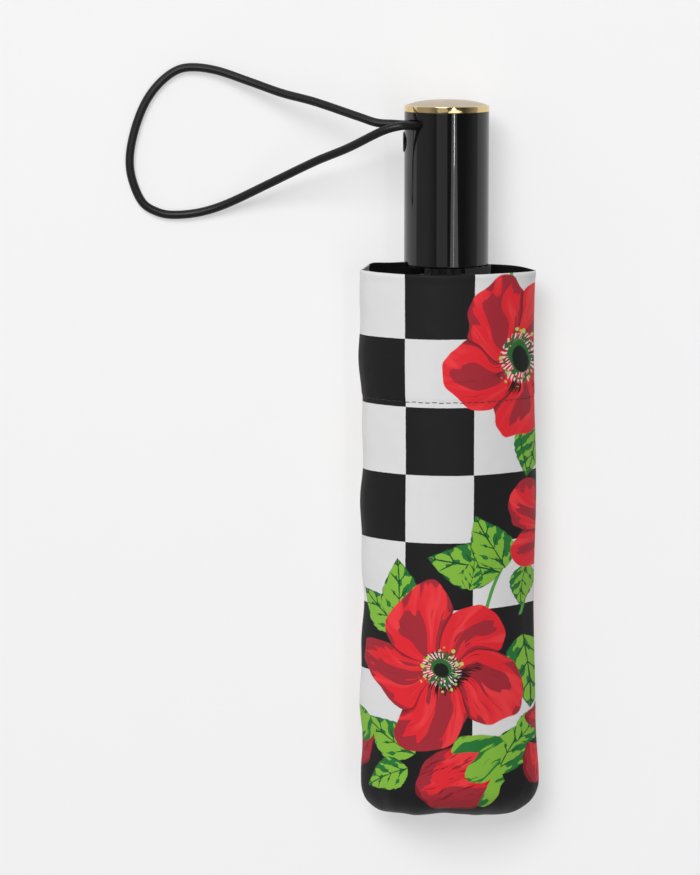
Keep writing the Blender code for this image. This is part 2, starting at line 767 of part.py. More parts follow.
def make_ribs():
    makers = {
        "top_rib": (top_rib_mesh, STEEL, 0.35, 1.0),
        "stretcher": (stretcher_mesh, DARK_STEEL, 0.35, 0.9),
        "middle_rib": (middle_rib_mesh, STEEL, 0.35, 1.0),
        "tail_rib": (tail_rib_mesh, DARK_STEEL, 0.35, 0.9),
    }
    for kind, (maker, colour, roughness, metallic) in makers.items():
        mesh = maker()
        mesh.materials.append(finish(kind, colour, roughness, metallic))
        for index in range(RIB_SETS):
            turn = 2 * math.pi * index / RIB_SETS
            place(f"{kind}_{index + 1}", mesh, PARTS, rotation=(0, turn, 0))


def make_canopy():
    """The folded canopy as one thick wall, open at the handle end and holed for the crown's stem."""
    hole = CROWN_STEM_RADIUS + GAP
    wide = CANOPY_HALF_WIDTH
    high = CANOPY_HALF_HEIGHT
    shoulder = CROWN_PIVOT + CROWN_HEIGHT / 2
    inner_end = CANOPY_END + CANOPY_END_WALL
    narrow = TOP_WEB + RIB_WALL + 2 * GAP
    rings = [
        oval(wide, high, CANOPY_MOUTH),
        oval(wide, high, shoulder),
        oval(CANOPY_TAPER * wide, CANOPY_TAPER * high, CROWN_BASE),
        oval(CANOPY_TUCK * wide, CANOPY_TUCK * high, CANOPY_END),
        oval(hole, hole, CANOPY_END),
        oval(hole, hole, inner_end),
        oval(narrow, narrow, CROWN_BASE + GAP),
        oval(narrow, narrow, shoulder),
        oval(CANOPY_BORE, CANOPY_BORE, shoulder + CROWN_HEIGHT / 2 + GAP),
        oval(CANOPY_BORE, CANOPY_BORE, CANOPY_MOUTH),
    ]
    canopy = place("canopy", loft("canopy", rings, True), PARTS)
    dress(canopy, FABRIC, 0.8)


def make_strap():
    middle = SLEEVE_MOUTH - STRAP_FROM_MOUTH
    wide = CANOPY_HALF_WIDTH + GAP
    high = CANOPY_HALF_HEIGHT + GAP
    bm = bmesh.new()
    near = [bm.verts.new(point) for point in oval(wide, high, middle - STRAP_WIDTH / 2)]
    far = [bm.verts.new(point) for point in oval(wide, high, middle + STRAP_WIDTH / 2)]
    for index in range(OVAL_STEPS):
        after = (index + 1) % OVAL_STEPS
        bm.faces.new((near[index], far[index], far[after], near[after]))
    strap = place("closure_strap", mesh_from("closure_strap", bm), PARTS)
    thick = strap.modifiers.new("Thickness", "SOLIDIFY")
    thick.thickness = STRAP_THICKNESS
    thick.offset = 1.0
    dress(strap, FABRIC, 0.8)
    # The snap sits square on one flat of the band.
    first = Vector(oval(wide, high, middle)[2])
    second = Vector(oval(wide, high, middle)[3])
    seat = (first + second) / 2
    flat = (second - first).normalized()
    outward = Vector((flat.z, 0, -flat.x))
    turn = math.atan2(outward.x, outward.z)
    lift = outward * (STRAP_THICKNESS + GAP)
    outline = [
        (0, SNAP_THICKNESS),
        (SNAP_RADIUS - 2 * EDGE_ROUND, SNAP_THICKNESS),
        (SNAP_RADIUS, SNAP_THICKNESS - EDGE_ROUND),
        (SNAP_RADIUS, 0),
        (0, 0),
    ]
    location = seat + lift + Vector((0, 0, AXIS_HEIGHT))
    at = {"location": location, "rotation": (0, turn, 0)}
    dress(turned("strap_snap", outline, PARTS, closed=False, **at), STEEL, 0.3, 1.0)


def make_sleeve():
    """A pressed fabric tube, sewn shut and rounded at the crown end."""
    straight_end = CROWN_END + SLEEVE_CORNER
    rings = []
    for step in range(6):
        along = SLEEVE_MOUTH + (straight_end - SLEEVE_MOUTH) * step / 5
        rings.append(lens(SLEEVE_HALF_WIDTH, SLEEVE_HALF_HEIGHT, along, -AXIS_HEIGHT))
    for step in range(1, 7):
        angle = math.pi / 2 * step / 6
        inset = SLEEVE_CORNER * (1 - math.cos(angle))
        share = SLEEVE_SEAM_SHARE + (1 - SLEEVE_SEAM_SHARE) * math.cos(angle)
        along = straight_end - SLEEVE_CORNER * math.sin(angle)
        ring = lens(SLEEVE_HALF_WIDTH - inset, SLEEVE_HALF_HEIGHT * share, along, -AXIS_HEIGHT)
        rings.append(ring)
    sleeve = place("sleeve", loft("sleeve", rings, False), PARTS)
    wall = sleeve.modifiers.new("Fabric", "SOLIDIFY")
    wall.thickness = SLEEVE_FABRIC
    wall.offset = -1.0
    dress(sleeve, FABRIC, 0.8)


def make_handle_shell():
    outline = [
        (HANDLE_RADIUS, SHELL_END),
        (HANDLE_RADIUS, HANDLE_START + RIM_ROUND),
        (HANDLE_RADIUS - 0.3 * RIM_ROUND, HANDLE_START + 0.3 * RIM_ROUND),
        (HANDLE_RADIUS - RIM_ROUND, HANDLE_START),
        (SHELL_BORE, HANDLE_START),
        (SHELL_BORE, SHELL_END),
    ]
    shell = turned("handle_shell", outline, PARTS, steps=HANDLE_STEPS)
    inside = SHELL_BORE - RIM_ROUND
    outside = HANDLE_RADIUS + RIM_ROUND
    low = (-SLOT_AROUND / 2, SLOT_Y - SLOT_ALONG / 2, inside)
    high = (SLOT_AROUND / 2, SLOT_Y + SLOT_ALONG / 2, outside)
    cut(shell, box("loop_slot", low, high), rotation=(0, -SLOT_TURN, 0))
    hole = rod(
        "button_hole", 0, (BUTTON_Y, 0), BUTTON_RADIUS + GAP, -outside, -inside + GAP, 24
    )
    cut(shell, hole)
    dress(shell, BLACK_PLASTIC, 0.06)


def make_end_cap():
    spigot = SHELL_BORE - GAP
    outline = [
        (0, HANDLE_END),
        (HANDLE_RADIUS - EDGE_ROUND, HANDLE_END),
        (HANDLE_RADIUS, HANDLE_END - EDGE_ROUND),
        (HANDLE_RADIUS, CAP_START),
        (spigot, CAP_START),
        (spigot, SHELL_END - CAP_SPIGOT),
        (0, SHELL_END - CAP_SPIGOT),
    ]
    cap = turned("end_cap", outline, PARTS, steps=HANDLE_STEPS, closed=False)
    dress(cap, GOLD, 0.18, 1.0)


def make_tube_socket():
    """The plug that fixes the widest tube in the handle."""
    radius = SHELL_BORE - FIT
    bore = OUTER_TUBE_RADIUS + FIT
    outline = [
        (radius, SOCKET_END),
        (radius, SOCKET_START),
        (bore, SOCKET_START),
        (bore, SOCKET_END),
    ]
    dress(turned("tube_socket", outline, PARTS), BLACK_PLASTIC, 0.5)


def make_latch_block():
    """Holds the latch's pin, the button's pocket and the seat of the main spring."""
    outline = [
        (0, BLOCK_END),
        (BLOCK_RADIUS, BLOCK_END),
        (BLOCK_RADIUS, BLOCK_START),
        (BLOCK_BORE, BLOCK_START),
        (BLOCK_BORE, BLOCK_BORE_END),
        (SPRING_STEM_RADIUS, BLOCK_BORE_END),
        (SPRING_STEM_RADIUS, BLOCK_BORE_END - SPRING_STEM_LENGTH),
        (0, BLOCK_BORE_END - SPRING_STEM_LENGTH),
    ]
    block = turned("latch_block", outline, PARTS, closed=False)
    reach = 2 * BLOCK_RADIUS
    half_slot = LEVER_THICKNESS / 2 + GAP
    slot_top = BUTTON_Y + LEVER_HUB_RADIUS
    slot_inner = -(INNER_TUBE_RADIUS + GAP)
    slot = box("lever_slot", (-reach, BLOCK_START - GAP, -half_slot), (slot_inner, slot_top, half_slot))
    cut(block, slot)
    pocket_radius = BUTTON_RADIUS + BUTTON_FLANGE + 2 * GAP
    cut(block, rod("button_pocket", 0, (BUTTON_Y, 0), pocket_radius, -reach, -POCKET_FLOOR, 20))
    stem_hole = BUTTON_STEM_RADIUS + GAP
    cut(block, rod("stem_hole", 0, (BUTTON_Y, 0), stem_hole, -reach, PIN_X, 12))
    cut(block, rod("pin_bore", 2, (PIN_X, PIN_Y), PIN_RADIUS + FIT, -reach, reach, 12))
    dress(block, BLACK_PLASTIC, 0.5)
    half_pin = math.sqrt(BLOCK_RADIUS**2 - (abs(PIN_X) + PIN_RADIUS) ** 2) - GAP
    pin = rod("latch_pin", 2, (0, 0), PIN_RADIUS, -half_pin, half_pin, 12)
    dress(place("latch_pin", pin, PARTS, location=(PIN_X, PIN_Y, AXIS_HEIGHT)), STEEL, 0.3, 1.0)


def make_latch_lever():
    """A bell crank: the button pushes one arm in, and the tooth on the other swings out."""
    tooth_end = -(INNER_TUBE_RADIUS + TOOTH_CLEARANCE) - PIN_X
    tooth_low = MIDDLE_TUBE_END + 3 * TOOTH_CLEARANCE - PIN_Y
    outline = [
        (-LEVER_HALF_ARM, tooth_low),
        (tooth_end, tooth_low),
        (tooth_end, tooth_low + 0.6 * TOOTH_DEPTH),
        (LEVER_HALF_ARM, tooth_low + TOOTH_DEPTH),
        (LEVER_HALF_ARM, BUTTON_ABOVE_PIN + BUTTON_STEM_RADIUS),
        (-LEVER_HALF_ARM, BUTTON_ABOVE_PIN + BUTTON_STEM_RADIUS),
    ]
    half = LEVER_THICKNESS / 2
    at = {"location": (PIN_X, PIN_Y, AXIS_HEIGHT)}
    lever = place("latch_lever", prism("latch_lever", outline, 2, -half, half), PARTS, **at)
    join(lever, rod("lever_hub", 2, (0, 0), LEVER_HUB_RADIUS, -half, half, 16), **at)
    reach = half + GAP
    cut(lever, rod("lever_bore", 2, (0, 0), PIN_RADIUS + FIT, -reach, reach, 12), **at)
    dress(lever, STEEL, 0.35, 1.0)


def make_button():
    flange = BUTTON_RADIUS + BUTTON_FLANGE
    flange_back = FLANGE_FACE - BUTTON_FLANGE_THICKNESS
    outline = [
        (0, BUTTON_FACE),
        (BUTTON_RADIUS - EDGE_ROUND, BUTTON_FACE),
        (BUTTON_RADIUS, BUTTON_FACE - EDGE_ROUND),
        (BUTTON_RADIUS, FLANGE_FACE),
        (flange, FLANGE_FACE),
        (flange, flange_back),
        (BUTTON_STEM_RADIUS, flange_back),
        (BUTTON_STEM_RADIUS, STEM_FACE + BUTTON_NOSE),
        (BUTTON_STEM_RADIUS - BUTTON_NOSE, STEM_FACE),
        (0, STEM_FACE),
    ]
    location = (0, BUTTON_Y, AXIS_HEIGHT)
    at = {"location": location, "rotation": (0, -math.pi / 2, 0)}
    button = turned("push_button", outline, PARTS, closed=False, **at)
    dress(button, BLACK_PLASTIC, 0.12)
    radius = (BUTTON_STEM_RADIUS + flange) / 2
    room = BUTTON_SPRING_WIRE + GAP
    points = coil(radius, BUTTON_SPRING_TURNS, -flange_back + room, -POCKET_FLOOR - room, 0)
    spring = wire("button_spring", points, BUTTON_SPRING_WIRE, location, 1)
    dress(spring, STEEL, 0.3, 1.0)


def make_main_spring():
    radius = INNER_BORE - MAIN_SPRING_WIRE - 2 * GAP
    low = CROWN_PIVOT - CROWN_HUB_OVERHANG / 2 + MAIN_SPRING_WIRE
    high = BLOCK_BORE_END - GAP - MAIN_SPRING_WIRE
    points = coil(radius, MAIN_SPRING_TURNS, low, high, 1)
    spring = wire("main_spring", points, MAIN_SPRING_WIRE, (0, 0, AXIS_HEIGHT), 1)
    dress(spring, STEEL, 0.3, 1.0)


def loop_points():
    """The cord's route: out of the slot, over the floor and back in beside itself."""
    outward = Vector((-math.sin(SLOT_TURN), 0, math.cos(SLOT_TURN)))
    across = Vector((math.cos(SLOT_TURN), 0, math.sin(SLOT_TURN)))
    mouth = Vector((0, SLOT_Y, AXIS_HEIGHT)) + HANDLE_RADIUS * outward

    def near(depth, along, sideways):
        return mouth + depth * outward + Vector((0, along, 0)) + sideways * across

    def away(sideways, along, share):
        height = LOOP_REST + share * (mouth.z - LOOP_REST)
        return Vector((mouth.x + sideways, mouth.y + along, height))

    start = [near(*point) for point in LOOP_START]
    middle = [away(*point) for point in LOOP_ROUTE]
    back = [near(*point) for point in LOOP_RETURN]
    return start + middle + back


def make_wrist_loop():
    """The elastic cord, both ends held by a crimp between the latch block and the end cap."""
    outline = [
        (0, SHELL_END - CAP_SPIGOT - GAP),
        (ANCHOR_RADIUS, SHELL_END - CAP_SPIGOT - GAP),
        (ANCHOR_RADIUS, BLOCK_END + GAP),
        (0, BLOCK_END + GAP),
    ]
    anchor = turned("loop_anchor", outline, PARTS, closed=False)
    dress(anchor, DARK_STEEL, 0.4, 0.8)
    cord = wire("wrist_loop", smooth_route(loop_points(), CORD_STEP), CORD_DIAMETER / 2, (0, 0, 0), 2)
    dress(cord, CORD_BLACK, 0.7)


make_inner_tube()
make_outer_tubes()
make_crown()
make_top_cap()
make_runner()
make_ribs()
make_canopy()
make_strap()
make_sleeve()
make_handle_shell()
make_end_cap()
make_tube_socket()
make_latch_block()
make_latch_lever()
make_button()
make_main_spring()
make_wrist_loop()
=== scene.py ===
"""Looks of the closed folding umbrella: printed sleeve, canopy, handle, gold cap and wrist loop."""

import math
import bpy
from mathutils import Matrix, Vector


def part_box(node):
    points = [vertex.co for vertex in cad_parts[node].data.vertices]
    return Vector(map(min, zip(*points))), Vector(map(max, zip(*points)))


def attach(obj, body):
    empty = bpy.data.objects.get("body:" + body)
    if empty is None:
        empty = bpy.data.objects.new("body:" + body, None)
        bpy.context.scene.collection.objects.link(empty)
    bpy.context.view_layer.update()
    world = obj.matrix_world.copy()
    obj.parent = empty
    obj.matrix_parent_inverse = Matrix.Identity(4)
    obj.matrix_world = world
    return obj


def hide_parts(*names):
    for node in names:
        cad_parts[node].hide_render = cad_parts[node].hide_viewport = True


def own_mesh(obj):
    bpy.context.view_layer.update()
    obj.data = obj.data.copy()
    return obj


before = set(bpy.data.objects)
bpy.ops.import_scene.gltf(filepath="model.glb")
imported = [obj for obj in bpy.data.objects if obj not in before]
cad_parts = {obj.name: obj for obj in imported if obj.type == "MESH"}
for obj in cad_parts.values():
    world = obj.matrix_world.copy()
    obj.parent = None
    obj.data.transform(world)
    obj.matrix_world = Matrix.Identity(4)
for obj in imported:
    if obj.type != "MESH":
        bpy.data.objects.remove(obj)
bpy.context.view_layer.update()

import bmesh
import bpy
import numpy as np
from mathutils import Matrix, Vector, noise

# Places read from the frame, in metres
SLEEVE_LOW, SLEEVE_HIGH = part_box("sleeve")
CANOPY_LOW, CANOPY_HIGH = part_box("canopy")
SHELL_LOW, SHELL_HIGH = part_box("handle_shell")
CAP_LOW, CAP_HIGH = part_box("end_cap")
BUTTON_LOW, BUTTON_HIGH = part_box("push_button")
STRAP_LOW, STRAP_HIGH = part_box("closure_strap")
AXIS = (SHELL_LOW[2] + SHELL_HIGH[2]) / 2
MOUTH = SLEEVE_HIGH[1]
BOTTOM = SLEEVE_LOW[1] - 0.0012
HANDLE_RADIUS = (SHELL_HIGH[0] - SHELL_LOW[0]) / 2
SLEEVE_HALF = (SLEEVE_HIGH[0] - SLEEVE_LOW[0]) / 2
SLEEVE_RISE = SLEEVE_HIGH[2] - AXIS

# Camera
TILT = math.radians(8.5)
LOOK_AT = Vector((-0.0371, 0.0087, AXIS))
CAMERA_DISTANCE = 1.2764
LENS = 135

# Sleeve cloth
LENS_POWER = 1.54
CORNER = 0.0125
CLOTH_THICKNESS = 0.0005
CLOTH_AROUND = 264
CLOTH_STRAIGHT_ROWS = 190
CLOTH_CORNER_ROWS = 26
HEM_DEPTH = 0.0492
STITCH_PITCH = 0.0027
STITCH_LENGTH = 0.0019
THREAD_RADIUS = 0.00014

# The gold cap's edge over the handle, and the top of its rim under the dome
CAP_SEAM = CAP_HIGH[1] - 0.0049
CAP_RIM = CAP_HIGH[1] - 0.0025

# Handle shell
SHELL_WALL = 0.0018
SLOT_TURN = math.radians(52)
SLOT_SIZE = (0.0076, 0.0040, 0.006)
BUTTON_HOLE_RADIUS = 0.0043
COIL_WIRE = 0.00025
COIL_TURNS = 3

# Wrist loop
CORD_DIAMETER = 0.0033
CORD_SPACING = 0.0009
CORD_SIDES = 16
LOOP_EXIT = (-0.0128, 0.1304, 0.0294)
# Along the cord in millimetres, from one end in the handle to the other
LOOP_ROUTE = [
    (-8.44, 130.4, 23.71),
    (-11.35, 130.4, 25.98),
    (-13.95, 130.4, 28.02),
    (-16.6, 130.6, 29.6),
    (-21, 130.9, 30.2),
    (-27, 131.3, 29.2),
    (-33.8, 133.4, 26.5),
    (-50.6, 138.7, 18.5),
    (-63.3, 141.8, 13),
    (-75.9, 146, 8),
    (-88.6, 150.1, 4.2),
    (-98.7, 151.3, 2.4),
    (-105.5, 149.5, 1.78),
    (-112.2, 143.9, 1.78),
    (-117.3, 136.3, 1.78),
    (-121.1, 126.1, 1.78),
    (-122.9, 115.9, 1.78),
    (-121.9, 107.4, 1.78),
    (-118.1, 98.9, 1.78),
    (-112.2, 95.1, 1.78),
    (-105.5, 94, 1.78),
    (-95.3, 95.1, 2.1),
    (-84.4, 98.8, 4.2),
    (-67.5, 107.2, 10.5),
    (-50.6, 115.8, 18.5),
    (-38, 121.4, 25.6),
    (-25.3, 128.1, 32.8),
    (-18.5, 130.2, 34.3),
    (-14.5, 130.4, 32.8),
    (-11.73, 130.4, 30.86),
    (-9.13, 130.4, 28.82),
    (-6.22, 130.4, 26.55),
]


# ---------------------------------------------------------------- small helpers


def add_object(name, data):
    obj = bpy.data.objects.new(name, data)
    bpy.context.scene.collection.objects.link(obj)
    return obj


def mesh_object(name, points, faces, material, smooth=True):
    mesh = bpy.data.meshes.new(name)
    mesh.from_pydata([tuple(point) for point in points], [], faces)
    mesh.update()
    if smooth:
        mesh.shade_smooth()
    obj = add_object(name, mesh)
    if material:
        mesh.materials.append(material)
    return obj


def apply_modifiers(obj):
    """The evaluated mesh becomes the object's own."""
    bpy.context.view_layer.update()
    graph = bpy.context.evaluated_depsgraph_get()
    mesh = bpy.data.meshes.new_from_object(obj.evaluated_get(graph))
    obj.modifiers.clear()
    obj.data = mesh
    return obj


def face_outward(obj, merge=0.0):
    """Normals to the outside, after points nearer than merge have been joined."""
    bm = bmesh.new()
    bm.from_mesh(obj.data)
    if merge:
        bmesh.ops.remove_doubles(bm, verts=bm.verts, dist=merge)
    bmesh.ops.recalc_face_normals(bm, faces=bm.faces)
    bm.to_mesh(obj.data)
    bm.free()


def turned(name, outline, steps, material, sharp_angle=35):
    """A piece turned about the shaft; its outline holds (radius, place along the shaft)."""
    mesh = bpy.data.meshes.new(name)
    bm = bmesh.new()
    verts = [bm.verts.new((radius, 0, along)) for radius, along in outline]
    for first, second in zip(verts, verts[1:]):
        bm.edges.new((first, second))
    bm.to_mesh(mesh)
    bm.free()
    obj = add_object(name, mesh)
    screw = obj.modifiers.new("Turn", "SCREW")
    screw.axis = "Z"
    screw.steps = steps
    screw.render_steps = steps
    screw.use_merge_vertices = True
    screw.merge_threshold = 0.00001
    apply_modifiers(obj)
    obj.data.transform(Matrix.Translation((0, 0, AXIS)) @ Matrix.Rotation(-math.pi / 2, 4, "X"))
    face_outward(obj, merge=0.000002)
    obj.data.shade_smooth()
    obj.data.set_sharp_from_angle(angle=math.radians(sharp_angle))
    obj.data.materials.append(material)
    return obj


def arc(centre, radius, start, end, steps):
    """Points of an arc in an outline, angles in degrees."""
    points = []
    for index in range(steps + 1):
        angle = math.radians(start + (end - start) * index / steps)
        points.append((centre[0] + radius * math.cos(angle), centre[1] + radius * math.sin(angle)))
    return points


def cut(obj, cutter):
    modifier = obj.modifiers.new("Cut", "BOOLEAN")
    modifier.operation = "DIFFERENCE"
    modifier.solver = "EXACT"
    modifier.object = cutter
    apply_modifiers(obj)
    bpy.data.objects.remove(cutter, do_unlink=True)
    return obj


def round_normals(obj, radius):
    """True cylinder normals on an outer wall, so that reflections stay straight past cut-outs."""
    mesh = obj.data
    normals = [Vector(normal.vector) for normal in mesh.corner_normals]
    for face in mesh.polygons:
        outward = Vector((face.center.x, 0, face.center.z - AXIS)).normalized()
        places = [mesh.vertices[mesh.loops[k].vertex_index].co for k in face.loop_indices]
        reach = min(math.hypot(place.x, place.z - AXIS) for place in places)
        if reach < radius - 0.00001 or face.normal.dot(outward) < 0.98:
            continue
        for k, place in zip(face.loop_indices, places):
            normals[k] = Vector((place.x, 0, place.z - AXIS)).normalized()
    mesh.normals_split_custom_set(normals)


def smoothstep(low, high, value):
    share = np.clip((value - low) / (high - low), 0.0, 1.0)
    return share * share * (3 - 2 * share)


def bell(away, width):
    return np.exp(-((away / width) ** 2))


def noise_grid(points, scale, seed):
    """Smooth noise from -1 to 1 at each point."""
    flat = points.reshape(-1, 3) * scale + seed
    values = [noise.noise(Vector(point)) for point in flat]
    return np.array(values).reshape(points.shape[:-1])


def smooth_route(points, spacing):
    """Evenly spaced points on a smooth curve through the given ones."""
    ends = [2 * points[0] - points[1]] + points + [2 * points[-1] - points[-2]]
    fine = []
    for before, start, end, after in zip(ends, ends[1:], ends[2:], ends[3:]):
        for step in range(24):
            t = step / 24
            lean = (end - before) * t
            bend = (2 * before - 5 * start + 4 * end - after) * t**2
            twist = (3 * start - before - 3 * end + after) * t**3
            fine.append(start + (lean + bend + twist) / 2)
    fine.append(points[-1])
    lengths = [0.0]
    for first, second in zip(fine, fine[1:]):
        lengths.append(lengths[-1] + (second - first).length)
    count = max(2, round(lengths[-1] / spacing))
    route = []
    index = 0
    for step in range(count + 1):
        target = lengths[-1] * step / count
        while index < len(fine) - 2 and lengths[index + 1] < target:
            index += 1
        share = (target - lengths[index]) / (lengths[index + 1] - lengths[index])
        route.append(fine[index].lerp(fine[index + 1], share))
    return route, lengths[-1]


def directions(route):
    """The way a route runs at each of its points."""
    ends = [route[0], *route, route[-1]]
    return [(after - before).normalized() for before, after in zip(ends, ends[2:])]


# ---------------------------------------------------------------- node helpers


class Number:
    """A value in a node tree that can be written as ordinary arithmetic."""

    def __init__(self, tree, socket):
        self.tree = tree
        self.socket = socket

    def math(self, kind, *others, clamp=False):
        node = self.tree.nodes.new("ShaderNodeMath")
        node.operation = kind
        node.use_clamp = clamp
        for slot, item in zip(node.inputs, (self, *others)):
            feed(self.tree, item, slot)
        return Number(self.tree, node.outputs[0])

    def __add__(self, other):
        return self.math("ADD", other)

    def __sub__(self, other):
        return self.math("SUBTRACT", other)

    def __mul__(self, other):
        return self.math("MULTIPLY", other)

    def __truediv__(self, other):
        return self.math("DIVIDE", other)

    def __neg__(self):
        return self.math("MULTIPLY", -1.0)

    def __abs__(self):
        return self.math("ABSOLUTE")

    def power(self, other):
        return self.math("POWER", other)

    def sin(self):
        return self.math("SINE")

    def round(self):
        return self.math("ROUND")

    def floor(self):
        return self.math("FLOOR")

    def fract(self):
        return self.math("FRACT")

    def most(self, other):
        return self.math("MAXIMUM", other)

    def clamp(self):
        return self.math("ADD", 0.0, clamp=True)

    def above(self, edge, softness):
        """0 below the edge and 1 above it, over a soft width."""
        return ((self - edge) / softness + 0.5).clamp()

    def below(self, edge, softness):
        """1 below the edge and 0 above it, over a soft width."""
        return (self * -1.0).above(-edge, softness)


def feed(tree, item, slot):
    """Gives an input a value from the tree, or a constant."""
    if isinstance(item, Number):
        tree.links.new(item.socket, slot)
    elif hasattr(item, "is_output"):
        tree.links.new(item, slot)
    elif slot.type == "RGBA" and len(item) == 3:
        slot.default_value = (*item, 1.0)
    else:
        slot.default_value = item


def feed_named(tree, node, items):
    for name, item in items.items():
        feed(tree, item, node.inputs[name])


def blend(tree, kind, places, share, first, second):
    """A Mix node of one data type; places holds its share, first and second inputs."""
    node = tree.nodes.new("ShaderNodeMix")
    node.data_type = kind
    for place, item in zip(places, (share, first, second)):
        feed(tree, item, node.inputs[place])
    return node


def mix(tree, share, first, second):
    """Colour between two, by share."""
    return blend(tree, "RGBA", (0, 6, 7), share, first, second).outputs[2]


def mix_vector(tree, share, first, second):
    return blend(tree, "VECTOR", (0, 4, 5), share, first, second).outputs[1]


def vector_math(tree, kind, *items):
    node = tree.nodes.new("ShaderNodeVectorMath")
    node.operation = kind
    for slot, item in zip(node.inputs, items):
        feed(tree, item, slot)
    return node.outputs[0]


def split(tree, vector):
    node = tree.nodes.new("ShaderNodeSeparateXYZ")
    tree.links.new(vector, node.inputs[0])
    return [Number(tree, output) for output in node.outputs]


def along_direction(tree, vector, direction):
    """How far a place lies along one direction."""
    node = tree.nodes.new("ShaderNodeVectorMath")
    node.operation = "DOT_PRODUCT"
    tree.links.new(vector, node.inputs[0])
    node.inputs[1].default_value = direction
    return Number(tree, node.outputs["Value"])


def flat_axes(tree, vector):
    return along_direction(tree, vector, (1, 0, 0)), along_direction(tree, vector, (0, 1, 0))


def motif_axes(tree, place, across, along, turn, size):
    """Print coordinates in a motif's own centre, turn in degrees and size."""
    across, along, size = across / 1000, along / 1000, size / 1000
    c = math.cos(math.radians(turn)) / size
    d = math.sin(math.radians(turn)) / size
    x = along_direction(tree, place, (c, d, 0)) - (across * c + along * d)
    y = along_direction(tree, place, (-d, c, 0)) - (along * c - across * d)
    return x, y


def combine(tree, *parts):
    node = tree.nodes.new("ShaderNodeCombineXYZ")
    for slot, item in zip(node.inputs, parts):
        feed(tree, item, slot)
    return node.outputs[0]


def noise_of(tree, vector, scale, detail=2.0, roughness=0.5, colour=False):
    node = tree.nodes.new("ShaderNodeTexNoise")
    feed_named(tree, node, {"Scale": scale, "Detail": detail, "Roughness": roughness})
    feed(tree, vector, node.inputs["Vector"])
    return node.outputs["Color"] if colour else Number(tree, node.outputs[0])


def new_group(name, inputs, outputs):
    """A shader group, with its input sockets by name and its output node."""
    tree = bpy.data.node_groups.new(name, "ShaderNodeTree")
    for label, kind in inputs:
        tree.interface.new_socket(label, in_out="INPUT", socket_type=kind)
    for label, kind in outputs:
        tree.interface.new_socket(label, in_out="OUTPUT", socket_type=kind)
    given = tree.nodes.new("NodeGroupInput")
    result = tree.nodes.new("NodeGroupOutput")
    return tree, given.outputs, result.inputs


def run_group(tree, group, items):
    """The outputs of a group that is given its inputs by name."""
    node = tree.nodes.new("ShaderNodeGroup")
    node.node_tree = group
    feed_named(tree, node, items)
    return node.outputs


def new_material(name):
    material = bpy.data.materials.new(name)
    material.use_nodes = True
    tree = material.node_tree
    return material, tree, tree.nodes["Principled BSDF"]


def bump(tree, height, distance, strength, shader, under=None):
    node = tree.nodes.new("ShaderNodeBump")
    feed_named(tree, node, {"Strength": strength, "Distance": distance, "Height": height})
    if under is not None:
        feed(tree, under, node.inputs["Normal"])
    feed(tree, node.outputs[0], shader.inputs["Normal"])
    return node.outputs[0]


def object_place(tree):
    return tree.nodes.new("ShaderNodeTexCoord").outputs["Object"]


def uv_place(tree):
    return tree.nodes.new("ShaderNodeTexCoord").outputs["UV"]


# ---------------------------------------------------------------- the print

VECTOR = "NodeSocketVector"
FLOAT = "NodeSocketFloat"
COLOUR = "NodeSocketColor"
PETALS = 5
MOTIF_INPUTS = [("Local", VECTOR), ("Seed", FLOAT)]
MOTIF_OUTPUTS = [("Cover", FLOAT), ("Colour", COLOUR)]
# How far from its centre a motif can reach, as a share of its size, and a place outside every motif
MOTIF_REACH = 1.2
NOWHERE = (9.0, 9.0, 0.0)

RED = (0.78, 0.024, 0.036)
RED_LIGHT = (0.90, 0.055, 0.062)
RED_SHADE = (0.385, 0.026, 0.040)
RED_DEEP = (0.19, 0.012, 0.018)
INK_STROKE = (0.020, 0.010, 0.010)
HEART_DARK = (0.012, 0.014, 0.012)
HEART_GREEN = (0.030, 0.155, 0.035)
STAMEN = (0.86, 0.70, 0.70)
POLLEN = (0.50, 0.68, 0.14)
LEAF_DARK = (0.024, 0.185, 0.040)
LEAF_DEEP = (0.010, 0.075, 0.026)
LEAF_LIGHT = (0.235, 0.50, 0.052)
STEM_GREEN = (0.085, 0.36, 0.055)


def wandered(tree, flat, seed, scale, amount):
    """Local coordinates bent by smooth noise, so that no two motifs of a kind are alike."""
    drifts = []
    for offset in (0.0, 7.0):
        moved = vector_math(tree, "ADD", flat, combine(tree, offset, 0.0, seed))
        drifts.append(noise_of(tree, moved, scale, 1.0))
    wander = combine(tree, *((drift - 0.5) * amount for drift in drifts), 0.0)
    return vector_math(tree, "ADD", flat, wander)


def scatter(value):
    """A chance from 0 to 1 that changes abruptly with the value."""
    return (value.sin() * 437.5).fract()


